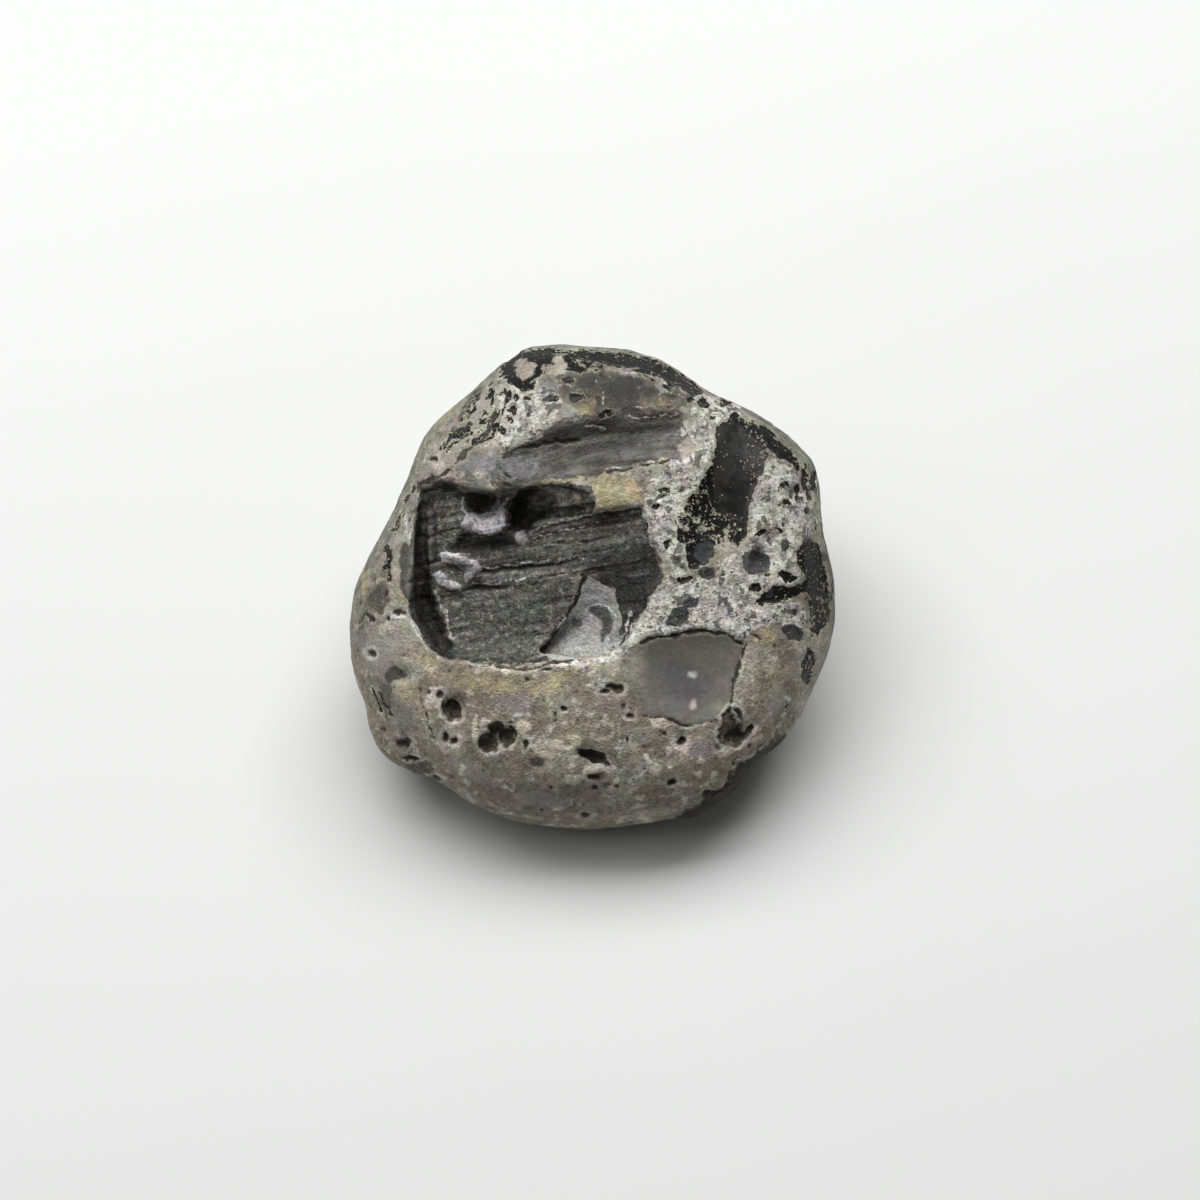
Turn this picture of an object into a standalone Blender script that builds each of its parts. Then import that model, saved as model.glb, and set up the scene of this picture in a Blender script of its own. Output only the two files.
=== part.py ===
"""An apache tear: a nodule of obsidian, about 38 mm across, in its weathered grey rind.

The stone is shaped face-on. In that face frame the broad face looks along +Z, the widest girdle
lies in the XY plane, and every length is in millimetres until MM turns it into metres. The face is
then leaned back to the slope at which the stone lies, and a small flat is worn where it touches the
ground. One piece of volcanic glass is one solid, so everything below is cut from the same nodule.
"""

import math

import bmesh
import bpy
from mathutils import Matrix, Vector, noise

MM = 0.001

# ---- Driving dimensions -------------------------------------------------------------------------
# Distance from the middle of the face to its outline, one each 15 degrees, counter-clockwise from +X.
GIRDLE = (
    18.8, 18.6, 19.6, 18.9, 17.9, 18.6, 18.8, 19.3, 18.1, 17.8, 16.8, 16.9,
    18.5, 19.6, 20.3, 20.1, 19.3, 18.8, 18.7, 19.1, 19.4, 19.7, 19.4, 19.3,
)  # fmt: skip
CROWN = 8.6  # height of the broad face over the girdle
CROWN_FULLNESS = 4.2  # 2 is a plain dome, and more is flatter on top with a rounder shoulder
KEEL = 10.4  # depth of the underside below the girdle
KEEL_FULLNESS = 2.0
KEEL_LEAN = 0.38  # how much deeper the underside gets towards the back, in mm for each mm
LEAN = math.radians(25)  # the broad face leans forward by this much as the stone lies
WEAR = 0.30  # worn off the lowest point, which leaves the small flat the stone rests on

SWELL = ((0.42, 9.0), (0.20, 4.2))  # height and breadth of the gentle lumps all over

BODY_CUTS = 13  # cuts across each side of the cube that is blown up into the nodule
PIT_DETAIL = 2  # subdivisions of a pit's icosphere
CLEARANCE = 1.6  # how far a cutter stands out over the surface it cuts
STEEP_ROWS = 10  # rows of faces from pole to pole of the ball that a steep bowl is pressed from
GENTLE_ROWS = 6


# ---- The nodule's own surface -------------------------------------------------------------------
def on_loop(values, share):
    """The value a share of the way round the smooth closed curve through some values."""
    place = share % 1 * len(values)
    first = int(place)
    t = place - first
    a, b, c, d = (values[(first + k) % len(values)] for k in (-1, 0, 1, 2))
    bend = (a * 2 - b * 5 + c * 4 - d) + ((b - c) * 3 + d - a) * t
    return b + ((c - a) + bend * t) * (t / 2)


def surface(direction):
    """The point of the nodule's skin that a unit direction leads to."""
    across = math.hypot(direction.x, direction.y)
    radius = on_loop(GIRDLE, math.atan2(direction.y, direction.x) / (2 * math.pi))
    x, y = direction.x * radius, direction.y * radius
    if direction.z > 0:
        z = CROWN * math.sqrt(max(0.0, 1 - across**CROWN_FULLNESS))
    else:
        z = -(KEEL + KEEL_LEAN * y) * math.sqrt(max(0.0, 1 - across**KEEL_FULLNESS))
    point = Vector((x, y, z))
    outward = Vector((x, y, 2 * z)).normalized()
    for height, breadth in SWELL:
        point += outward * height * noise.noise(point / breadth)
    return point


def on_face(x, y):
    """The unit direction whose point lies over (x, y) on the broad face."""
    bearing = math.atan2(y, x)
    across = min(0.999, math.hypot(x, y) / on_loop(GIRDLE, bearing / (2 * math.pi)))
    return Vector((across * math.cos(bearing), across * math.sin(bearing), math.sqrt(1 - across**2)))


def towards(bearing, lift):
    """The unit direction at a bearing round the girdle and a lift above it, in degrees."""
    bearing, lift = math.radians(bearing), math.radians(lift)
    flat = math.cos(lift)
    return Vector((flat * math.cos(bearing), flat * math.sin(bearing), math.sin(lift)))


# ---- Ground to cut into: a function of (x, y) that gives a point of it and the way out there -----
def skin(x, y):
    """The broad face's own skin."""
    return Vector((x, y, surface(on_face(x, y)).z)), Vector((0, 0, 1))


def sloping(height, slope_x, slope_y):
    """A flat so high over the middle of the face, that climbs so much for each mm."""

    def ground(x, y):
        return Vector((x, y, height + slope_x * x + slope_y * y)), Vector((0, 0, 1))

    return ground


def around(direction, turn=0.0):
    """The skin round a direction, by mm along the girdle and mm up towards the face."""
    step = 0.04
    level = Vector((-direction.y, direction.x, 0)).normalized()
    climb = direction.cross(level)

    def pace(way):
        ahead, behind = (direction + way * step).normalized(), (direction - way * step).normalized()
        return (surface(ahead) - surface(behind)) / (2 * step)

    along, up = pace(level), pace(climb)
    outward = along.cross(up).normalized()
    cosine, sine = math.cos(math.radians(turn)), math.sin(math.radians(turn))

    def ground(x, y):
        right, rise = x * cosine - y * sine, x * sine + y * cosine
        aim = direction + level * (right / along.length) + climb * (rise / up.length)
        return surface(aim.normalized()), outward

    return ground


# ---- What was broken or eaten away --------------------------------------------------------------
FLOOR = sloping(6.8, 0.19, 0.015)  # the floor of the basin climbs to the right
SHELL_CHORD = sloping(6.7, 0.38, 0.08)  # the line across the scar in the basin's right wall

BASIN_RIM = (
    (5.4, 1.6), (4.7, 4.3), (3.6, 6.2), (0.6, 5.7), (-0.2, 7.1), (-2.4, 7.6), (-5.0, 7.5), (-7.3, 7.2),
    (-9.5, 7.4), (-11.4, 8.0), (-13.0, 7.6), (-13.4, 5.0), (-13.5, 2.0), (-13.9, -0.8), (-13.5, -2.8),
    (-12.4, -4.4), (-10.9, -5.5), (-8.4, -5.8), (-5.8, -6.2), (-3.2, -5.9), (-0.5, -5.6), (1.5, -4.9),
    (3.0, -3.6), (4.2, -1.7),
)  # fmt: skip
BASIN_STEEPNESS = 12  # 2 is a bowl, and more is a flat floor with a steep wall

# Bowls cut in the broad face: name, ground, depth, fullness, rim (x, y) counter-clockwise.
SHELL_SCAR = (
    "shell_scar", SHELL_CHORD, 0.8, 2,
    ((5.2, 1.2), (4.0, 2.6), (1.9, 3.0), (0.4, 2.3), (-0.7, 1.2), (-1.3, -1.1), (-2.5, -3.3),
     (-4.3, -5.2), (-1.3, -5.6), (1.4, -5.0), (3.1, -3.4), (4.3, -1.4)),
)  # fmt: skip
RECESS = (
    "recess", FLOOR, 1.6, 4,
    ((-2.4, 6.2), (-3.2, 7.1), (-4.6, 7.4), (-6.0, 7.0), (-6.7, 5.6), (-6.3, 4.3), (-5.2, 3.8),
     (-4.3, 4.9), (-3.0, 5.2)),
)  # fmt: skip
FACE_SCARS = (
    ("flute", skin, 1.15, 2.2,
     ((9.3, 12.0), (8.1, 13.3), (4.4, 13.4), (0.6, 12.9), (-2.4, 12.1), (-4.9, 11.0), (-6.5, 9.9),
      (-6.8, 8.9), (-5.6, 8.3), (-3.2, 8.3), (0.0, 8.7), (3.6, 9.2), (7.3, 9.9), (9.0, 10.7))),
    ("window", skin, 0.55, 2.5,
     ((11.7, -4.6), (10.7, -3.6), (8.1, -3.1), (5.5, -3.3), (3.6, -4.0), (2.1, -5.1), (2.3, -6.8),
      (4.0, -8.5), (6.6, -9.8), (8.7, -10.1), (10.2, -9.4), (11.2, -7.3))),
    ("glass_band", skin, 0.55, 2.5,
     ((12.9, 10.3), (12.4, 11.8), (10.9, 12.6), (9.7, 11.6), (8.9, 10.1), (8.3, 8.2), (7.3, 6.5),
      (6.6, 4.3), (6.8, 1.9), (8.4, 1.1), (10.7, 2.6), (11.6, 3.8), (12.2, 5.9), (12.8, 8.0))),
)  # fmt: skip

# Shell-shaped scars round the flanks and underneath: name, bearing, lift, half length, half breadth,
# depth, turn. Bearing and lift are in degrees.
FLANK_SCARS = (
    ("upper_left_facet", 127, 33, 5.6, 2.2, 0.55, -8),
    ("left_facet", 212, 22, 6.6, 2.5, 0.55, 12),
    ("right_dent", 6, 22, 4.6, 1.7, 0.45, 0),
    ("upper_right_facet", 50, 8, 7.2, 2.2, 0.70, 0),
    ("right_shoulder", 16, 4, 4.8, 2.0, 0.45, 0),
    ("front_ledge", 312, -4, 6.4, 2.8, 0.65, -8),
    ("front_left_facet", 232, -20, 6.4, 3.4, 0.80, 0),
    ("left_flank", 165, -14, 6.5, 4.0, 0.80, 0),
    ("back_flank", 92, -26, 8.5, 5.0, 1.00, 0),
    ("right_flank", 8, -28, 7.0, 4.6, 0.90, 20),
    ("under_left", 195, -50, 6.5, 4.6, 0.80, 0),
    ("under_back", 60, -62, 6.5, 4.6, 0.80, 0),
    ("under_right", 330, -48, 6.0, 4.4, 0.70, 0),
)

# Furrows sunk in the basin's floor and lips left standing on it. Each runs along a spine of
# (x, y, half breadth), with its half height and how high its middle is over the floor.
GUTTERS = (
    ("gutter", 2.4, 1.1,
     ((-12.7, 7.4, 0.50), (-13.0, 4.3, 0.60), (-13.05, 1.3, 0.65), (-12.9, -1.0, 0.85),
      (-12.2, -3.1, 1.05), (-11.0, -4.9, 0.70))),
    ("recess_groove", 0.7, 0.0,
     ((-3.6, 5.4, 0.25), (-2.4, 5.5, 0.40), (-1.0, 5.75, 0.36), (0.1, 6.1, 0.20))),
    ("upper_flow_line", 0.4, 0.0,
     ((-5.3, 3.5, 0.20), (-2.4, 4.0, 0.32), (0.4, 4.4, 0.30), (3.0, 5.0, 0.20))),
    ("middle_flow_line", 0.4, 0.0,
     ((-8.4, 1.2, 0.20), (-5.6, 1.4, 0.34), (-2.6, 1.8, 0.30), (0.4, 2.3, 0.20))),
    ("lower_flow_line", 0.35, 0.0,
     ((-10.4, -0.6, 0.20), (-7.2, 0.0, 0.30), (-3.8, 0.6, 0.28), (-1.4, 1.2, 0.18))),
)  # fmt: skip
LIPS = (
    ("cup_lip", 0.55, 0.9,
     ((-9.9, 5.1, 0.22), (-8.9, 4.2, 0.45), (-7.5, 4.0, 0.50), (-6.4, 4.8, 0.42), (-6.0, 6.2, 0.25))),
    ("upper_lip", 0.65, 0.1,
     ((-11.5, 2.1, 0.25), (-10.7, 2.6, 0.50), (-9.6, 2.1, 0.50), (-8.8, 1.3, 0.45), (-9.2, 0.5, 0.25))),
    ("lower_lip", 0.45, 0.1,
     ((-12.0, 0.5, 0.20), (-11.1, 0.7, 0.36), (-10.2, -0.1, 0.36), (-9.7, -0.7, 0.20))),
    ("gutter_lip", 0.40, 0.0, ((-11.9, -0.5, 0.15), (-11.3, -2.0, 0.26), (-10.8, -3.8, 0.18))),
)  # fmt: skip
PLATEAU = (
    (-5.9, 6.2), (-6.9, 7.3), (-9.8, 7.6), (-11.4, 7.2), (-11.5, 5.0), (-11.3, 2.7), (-10.3, 3.2),
    (-9.2, 4.0), (-7.5, 3.8), (-6.3, 4.6),
)  # fmt: skip
PLATEAU_HEIGHT = 0.95

CUP = ((-8.1, 6.0, 6.5), (1.45, 1.30, 1.7))  # the round hole in the plateau: middle, half sizes

# Pits in the rind of the face: x, y, half length, half breadth, depth, turn.
FACE_PITS = (
    (-10.3, -9.1, 0.85, 1.25, 1.0, 12),
    (-6.9, -11.3, 1.05, 0.95, 1.0, 0),
    (-8.0, -12.1, 0.65, 0.60, 0.7, 0),
    (-10.8, -11.7, 0.42, 0.45, 0.5, 0),
    (-0.1, -12.9, 1.30, 0.60, 0.9, -24),
    (0.4, -14.5, 0.50, 0.45, 0.5, 0),
    (1.5, -7.7, 0.80, 0.40, 0.5, 22),
    (6.7, -11.4, 0.58, 0.62, 0.6, 0),
    (11.0, -11.2, 1.10, 0.80, 0.9, 10),
    (12.2, -10.5, 0.55, 0.50, 0.6, 0),
    (-14.5, -6.7, 0.90, 0.72, 0.6, 30),
    (-14.3, -11.9, 0.80, 0.50, 0.6, 0),
    (12.8, 2.0, 1.15, 1.05, 0.8, 0),
    (13.5, 3.6, 0.85, 0.70, 0.5, 0),
    (15.3, 7.1, 0.80, 0.65, 0.6, 30),
)
BACK_PITS = 10  # pits round the flanks and the underside
BACK_PIT_SIZES = (0.6, 1.3)  # half sizes of the smallest and the largest of them
GOLDEN_TURN = 137.5  # degrees from one of them to the next, so that none fall in rows
PIT_LUMPS = 0.25  # how uneven a pit is, as a share of its size


# ---- Making the solids --------------------------------------------------------------------------
def new_collection(name):
    collection = bpy.data.collections.new(name)
    bpy.context.scene.collection.children.link(collection)
    return collection


def shaped(name, collection, bm, shape):
    """An object from a primitive whose corners are each moved to shape(corner), in millimetres."""
    bmesh.ops.triangulate(bm, faces=bm.faces)
    for vertex in bm.verts:
        vertex.co = shape(vertex.co.copy()) * MM
    mesh = bpy.data.meshes.new(name)
    bm.to_mesh(mesh)
    bm.free()
    mesh.shade_smooth()
    obj = bpy.data.objects.new(name, mesh)
    collection.objects.link(obj)
    return obj


def helper(obj, face):
    """A cutter or a filler: it shapes the stone and is never seen itself."""
    obj.parent = face
    obj.hide_render = True
    obj.display_type = "WIRE"


def nodule(name, collection):
    """The whole nodule: a cube cut into a grid and blown up to the skin."""
    bm = bmesh.new()
    bmesh.ops.create_cube(bm, size=2.0)
    bmesh.ops.subdivide_edges(bm, edges=bm.edges, cuts=BODY_CUTS, use_grid_fill=True)
    return shaped(name, collection, bm, lambda corner: surface(corner.normalized()))


def pebble(name, collection, face, frame, half_sizes):
    """A small uneven pebble, for a pit."""
    scale = Matrix.Diagonal((*half_sizes, 1.0))

    def shape(corner):
        lump = 1 + PIT_LUMPS * noise.noise(corner * 1.6 + frame.translation)
        return frame @ scale @ (corner * lump)

    bm = bmesh.new()
    bmesh.ops.create_icosphere(bm, subdivisions=PIT_DETAIL, radius=1.0)
    helper(shaped(name, collection, bm, shape), face)


def bowl(name, collection, face, ground, depth, fullness, rim, segments):
    """A ball pressed to a rim on the ground: half of it dips to the depth, inside the rim, and the
    other half stands clear of the ground with upright sides. A depth below nothing is a mound."""
    rim = [Vector(point) for point in rim]
    middle = sum(rim, Vector((0, 0))) / len(rim)
    rows = STEEP_ROWS if fullness > 3 else GENTLE_ROWS
    shoulder = math.cos(math.pi / rows)  # how wide the ball is one row of corners from its middle

    def shape(corner):
        share = min(1.0, math.hypot(corner.x, corner.y))
        level = -depth * (1 - share**fullness)
        if corner.z * depth > 1e-4:
            share = min(1.0, share / shoulder)
            level = math.copysign(CLEARANCE, depth)
        around_rim = on_loop(rim, math.atan2(corner.y, corner.x) / (2 * math.pi))
        point, outward = ground(*middle.lerp(around_rim, share))
        return point + outward * level

    bm = bmesh.new()
    bmesh.ops.create_uvsphere(bm, u_segments=segments, v_segments=rows, radius=1.0)
    helper(shaped(name, collection, bm, shape), face)


def furrow(name, collection, face, half_height, lift, spine):
    """A round bar along a spine over the basin's floor, flattened to its half height."""
    flatness = half_height / max(half_breadth for x, y, half_breadth in spine)
    curve = bpy.data.curves.new(name, "CURVE")
    curve.dimensions = "3D"
    curve.bevel_depth = MM
    curve.bevel_resolution = 1
    curve.resolution_u = 2
    curve.use_fill_caps = True
    spline = curve.splines.new("NURBS")
    spline.points.add(len(spine) - 1)
    for point, (x, y, half_breadth) in zip(spline.points, spine):
        z = (FLOOR(x, y)[0].z + lift) / flatness
        point.co = (x * MM, y * MM, z * MM, 1)
        point.radius = half_breadth
    spline.order_u = 3
    spline.use_endpoint_u = True
    bar = bpy.data.objects.new(name, curve)
    collection.objects.link(bar)
    mesh = bpy.data.meshes.new_from_object(bar.evaluated_get(bpy.context.evaluated_depsgraph_get()))
    bpy.data.objects.remove(bar)
    bm = bmesh.new()
    bm.from_mesh(mesh)
    bmesh.ops.remove_doubles(bm, verts=bm.verts, dist=0.01 * MM)
    flatten = Matrix.Diagonal((1, 1, flatness))
    helper(shaped(name, collection, bm, lambda corner: flatten @ corner / MM), face)


def add_basin(collection, face):
    """The deep hollow in the broad face: flat-floored and steep-walled, with a climbing floor."""

    def ground(x, y):
        point, outward = skin(x, y)
        sunk = max(0.0, point.z - FLOOR(x, y)[0].z)
        return point, outward * sunk

    bowl("basin", collection, face, ground, 1.0, BASIN_STEEPNESS, BASIN_RIM, 40)


def add_basin_mounds(collection, face):
    """What was left standing on the basin's floor."""
    bowl("plateau", collection, face, FLOOR, -PLATEAU_HEIGHT, 6, PLATEAU, 20)
    for name, half_height, lift, spine in LIPS:
        furrow(name, collection, face, half_height, lift, spine)


def add_basin_furrows(collection, face):
    """What was eaten out of the basin's floor and walls."""
    for name, half_height, lift, spine in GUTTERS:
        furrow(name, collection, face, half_height, lift, spine)
    for name, ground, depth, fullness, rim in (SHELL_SCAR, RECESS):
        bowl(name, collection, face, ground, depth, fullness, rim, 18)
    middle, half_sizes = CUP
    pebble("cup", collection, face, Matrix.Translation(middle), half_sizes)


def add_scars(collection, face):
    """Flakes struck off the nodule: by outline on the broad face, by bearing round the flanks."""
    for name, ground, depth, fullness, rim in FACE_SCARS:
        bowl(name, collection, face, ground, depth, fullness, rim, 24)
    for name, bearing, lift, length, breadth, depth, turn in FLANK_SCARS:
        rim = []
        for number in range(10):
            angle = 2 * math.pi * number / 10
            wobble = 1 + 0.10 * math.sin(3 * angle + bearing)
            rim.append((length * wobble * math.cos(angle), breadth * wobble * math.sin(angle)))
        bowl(name, collection, face, around(towards(bearing, lift), turn), depth, 2, rim, 16)


def add_pits(collection, face):
    """Pits of the face by place, then a spiral of them round the flanks and the underside."""
    for number, (x, y, length, breadth, depth, turn) in enumerate(FACE_PITS):
        frame = Matrix.Translation(skin(x, y)[0]) @ Matrix.Rotation(math.radians(turn), 4, "Z")
        pebble(f"face_pit_{number}", collection, face, frame, (length, breadth, depth))
    low, high = BACK_PIT_SIZES
    for number in range(BACK_PITS):
        share = (number + 0.5) / BACK_PITS
        middle = surface(towards(GOLDEN_TURN * number, -8 - 58 * share))
        size = low + (high - low) * (0.5 + 0.5 * math.sin(7 * number)) ** 2
        half_sizes = (size, size * 0.8, size * 0.7)
        pebble(f"back_pit_{number}", collection, face, Matrix.Translation(middle), half_sizes)


def add_ground(collection):
    """The block of ground that the small resting flat is worn against."""
    side, height = 0.08, 0.02
    bm = bmesh.new()
    bmesh.ops.create_cube(bm, size=1.0)
    bmesh.ops.scale(bm, vec=(side, side, height), verts=bm.verts)
    bmesh.ops.translate(bm, vec=(0, 0, -height / 2), verts=bm.verts)
    mesh = bpy.data.meshes.new("ground")
    bm.to_mesh(mesh)
    bm.free()
    ground = bpy.data.objects.new("ground", mesh)
    collection.objects.link(ground)
    ground.hide_render = True
    ground.display_type = "WIRE"


def boolean(stone, name, operation, collection):
    modifier = stone.modifiers.new(name, "BOOLEAN")
    modifier.operation = operation
    modifier.operand_type = "COLLECTION"
    modifier.collection = collection


def obsidian():
    """Black glass under a dull grey rind."""
    material = bpy.data.materials.new("weathered_obsidian")
    material.use_nodes = True
    shader = material.node_tree.nodes["Principled BSDF"]
    shader.inputs["Base Color"].default_value = (0.16, 0.15, 0.14, 1)
    shader.inputs["Roughness"].default_value = 0.55
    shader.inputs["Metallic"].default_value = 0.0
    return material


def set_down(stone, face):
    """Sets the stone down over the origin, with its lowest point WEAR below the ground."""
    bpy.context.view_layer.update()
    evaluated = stone.evaluated_get(bpy.context.evaluated_depsgraph_get())
    corners = [evaluated.matrix_world @ vertex.co for vertex in evaluated.data.vertices]
    for axis in (0, 1):
        values = [corner[axis] for corner in corners]
        face.location[axis] -= (min(values) + max(values)) / 2
    face.location.z -= min(corner.z for corner in corners) + WEAR * MM


def main():
    for obj in list(bpy.data.objects):
        bpy.data.objects.remove(obj)

    face = bpy.data.objects.new("face_frame", None)
    bpy.context.scene.collection.objects.link(face)
    face.rotation_euler.x = LEAN

    stone = nodule("stone", new_collection("apache_tear"))
    stone.parent = face
    stone.data.materials.append(obsidian())

    steps = (
        ("basin_cutter", "DIFFERENCE", (add_basin,)),
        ("basin_mounds", "UNION", (add_basin_mounds,)),
        ("basin_furrows", "DIFFERENCE", (add_basin_furrows,)),
        ("scars_and_pits", "DIFFERENCE", (add_scars, add_pits)),
    )
    for name, operation, makers in steps:
        collection = new_collection(name)
        for maker in makers:
            maker(collection, face)
        boolean(stone, name, operation, collection)
    set_down(stone, face)
    ground = new_collection("ground_cutter")
    add_ground(ground)
    boolean(stone, "resting_flat", "DIFFERENCE", ground)


main()
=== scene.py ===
# %% [markdown]
# # An apache tear, from a faceted solid to a weathered stone
#
# An apache tear is a nodule of obsidian, a black volcanic glass. Water has worked into it from
# outside, so it wears a dull grey rind, and where flakes have broken off, the glass shows through:
# glossy black where the break is fresh, frosted where it has lain in gravel for a while.
#
# The solid that comes in has the right size and main forms. This lesson gives it a fine skin, the
# small relief that weathering leaves, and one layered material.

# %% Load the solid
import math

import bmesh
import bpy
import numpy as np
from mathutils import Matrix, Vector, noise


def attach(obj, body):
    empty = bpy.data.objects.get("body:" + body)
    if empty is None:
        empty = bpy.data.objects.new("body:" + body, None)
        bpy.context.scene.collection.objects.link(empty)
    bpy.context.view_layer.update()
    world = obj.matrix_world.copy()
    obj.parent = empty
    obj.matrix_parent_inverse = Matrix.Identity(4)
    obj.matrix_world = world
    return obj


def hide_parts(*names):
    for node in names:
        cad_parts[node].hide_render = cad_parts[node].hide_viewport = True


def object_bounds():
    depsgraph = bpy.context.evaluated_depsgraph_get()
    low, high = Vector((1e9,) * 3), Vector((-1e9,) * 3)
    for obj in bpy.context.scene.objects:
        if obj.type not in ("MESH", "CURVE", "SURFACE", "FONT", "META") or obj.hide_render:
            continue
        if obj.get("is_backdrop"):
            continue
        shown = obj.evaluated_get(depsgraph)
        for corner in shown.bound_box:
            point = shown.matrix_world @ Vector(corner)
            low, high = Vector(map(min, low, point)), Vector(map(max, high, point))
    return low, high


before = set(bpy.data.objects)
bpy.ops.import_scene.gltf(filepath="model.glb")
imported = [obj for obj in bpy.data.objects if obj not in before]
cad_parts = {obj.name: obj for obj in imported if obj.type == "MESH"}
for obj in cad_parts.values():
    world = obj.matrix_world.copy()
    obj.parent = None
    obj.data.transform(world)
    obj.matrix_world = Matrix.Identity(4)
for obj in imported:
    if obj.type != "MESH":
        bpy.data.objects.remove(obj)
cad_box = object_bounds()
MM = 0.001
print("the solid is", [round((b - a) / MM, 1) for a, b in zip(*cad_box)], "mm")

# %% [markdown]
# ## The camera comes first
#
# The stone lies with its broad face leaning 25 degrees towards the front, so a camera 65 degrees up
# looks straight at that face. The places of patches, cracks and pits are then easiest to give on
# that view, as on a map: x to the right and y down, on a sheet 1200 units wide and high.

# %% Set up the camera
SHEET = 1200
CAMERA_LIFT = math.radians(65)
CAMERA_DISTANCE = 221.0
LENS, FILM = 85.0, 36.0
AIM = Vector((0.56, -0.85, 8.2))

CAMERA_UP = Vector((0, math.sin(CAMERA_LIFT), math.cos(CAMERA_LIFT)))
TOWARDS_CAMERA = Vector((0, -math.cos(CAMERA_LIFT), math.sin(CAMERA_LIFT)))
CAMERA_PLACE = AIM + TOWARDS_CAMERA * CAMERA_DISTANCE

camera = bpy.data.objects.new("camera", bpy.data.cameras.new("camera"))
bpy.context.scene.collection.objects.link(camera)
camera.data.lens, camera.data.sensor_width = LENS, FILM
camera.location = CAMERA_PLACE * MM
camera.rotation_euler = (-TOWARDS_CAMERA).to_track_quat("-Z", "Y").to_euler()
bpy.context.scene.camera = camera

UNITS_PER_MM = LENS / FILM * SHEET / CAMERA_DISTANCE
print("one millimetre of the face is", round(UNITS_PER_MM, 2), "units of the sheet")

# %% [markdown]
# ## A finer skin
#
# The solid is faceted, with facets of about two millimetres. A voxel remesh turns a copy of it into
# an even net of small quads, which can then be smoothed and shaped like clay. The loose triangles
# are merged first, because the remesh needs a closed surface. The side that nobody looks at closely
# is thinned again, which keeps the file small without costing detail on the broad face.

# %% Make the fine skin
VOXEL = 0.18
THINNING = 0.63
FACING_AWAY = -0.05  # below this the skin is on the far side
MERGE_REACH = 0.001


def plain_mesh(obj):
    """The object's evaluated mesh, as a plain mesh with no modifiers left."""
    return bpy.data.meshes.new_from_object(obj.evaluated_get(bpy.context.evaluated_depsgraph_get()))


def in_scene(name, mesh):
    obj = bpy.data.objects.new(name, mesh)
    bpy.context.scene.collection.objects.link(obj)
    return obj


def merged_copy(node):
    mesh = node.data.copy()
    bm = bmesh.new()
    bm.from_mesh(mesh)
    bmesh.ops.remove_doubles(bm, verts=bm.verts, dist=MERGE_REACH * MM)
    bm.to_mesh(mesh)
    bm.free()
    return mesh


def corners_of(mesh):
    """The corners of a mesh in millimetres, and the normals there, as arrays."""
    places = np.empty(len(mesh.vertices) * 3)
    normals = np.empty(len(mesh.vertices) * 3)
    mesh.vertices.foreach_get("co", places)
    mesh.vertices.foreach_get("normal", normals)
    return places.reshape(-1, 3) / MM, normals.reshape(-1, 3)


skin = in_scene("stone_skin", merged_copy(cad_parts["stone"]))
remesh = skin.modifiers.new("even_net", "REMESH")
remesh.mode = "VOXEL"
remesh.voxel_size = VOXEL * MM
even = plain_mesh(skin)
skin.modifiers.clear()
skin.data = even

places, normals = corners_of(even)
hidden = normals @ np.array(TOWARDS_CAMERA) < FACING_AWAY
far_side = skin.vertex_groups.new(name="far_side")
far_side.add([int(i) for i in np.flatnonzero(hidden)], 1.0, "REPLACE")
thin = skin.modifiers.new("thin_far_side", "DECIMATE")
thin.ratio = THINNING
thin.vertex_group = "far_side"
skin.data = plain_mesh(skin)
skin.modifiers.clear()
skin.vertex_groups.clear()
print("the skin has", sum(len(p.vertices) - 2 for p in skin.data.polygons), "triangles")

# %% [markdown]
# ## Small corners of the outline
#
# The solid rounds off what is under a millimetre: a knob low on the left with a dip beside it, the
# worn right side, and the ends of a chip low on the right. Each is a soft push of the skin, strongest
# in its middle and fading over a few millimetres, so it leaves no crease. Near the floor the pushes
# fade out, because the stone rests there.

# %% Push the small corners
NUDGES = [  # place on the sheet, push to the right and down in sheet units, reach in mm
    (382, 750, -7.0, 5.0, 2.3), (441, 787, 3.0, -4.0, 1.9), (815, 688, -5.5, -2.5, 3.6),
    (758, 762, -5.0, -5.0, 1.7), (698, 812, 1.5, 4.0, 1.3), (360, 701, 4.0, -2.0, 1.3),
]
FLOOR_FADE = 1.5
DEPTH_REACH = 2.5  # how much further a push reaches along the line of sight
RIM_FACES_SIDEWAYS = 0.15  # the rim is where the skin is this close to edge-on
OUT_OF_REACH = 1e6
SHEET_SCALE = LENS / FILM * SHEET


def on_sheet(spots):
    """Where places in millimetres are seen on the sheet."""
    from_camera = spots - np.array(CAMERA_PLACE)
    depth = -(from_camera @ np.array(TOWARDS_CAMERA))
    across, upward = from_camera[:, 0], from_camera @ np.array(CAMERA_UP)
    return SHEET / 2 + SHEET_SCALE * across / depth, SHEET / 2 - SHEET_SCALE * upward / depth


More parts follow.
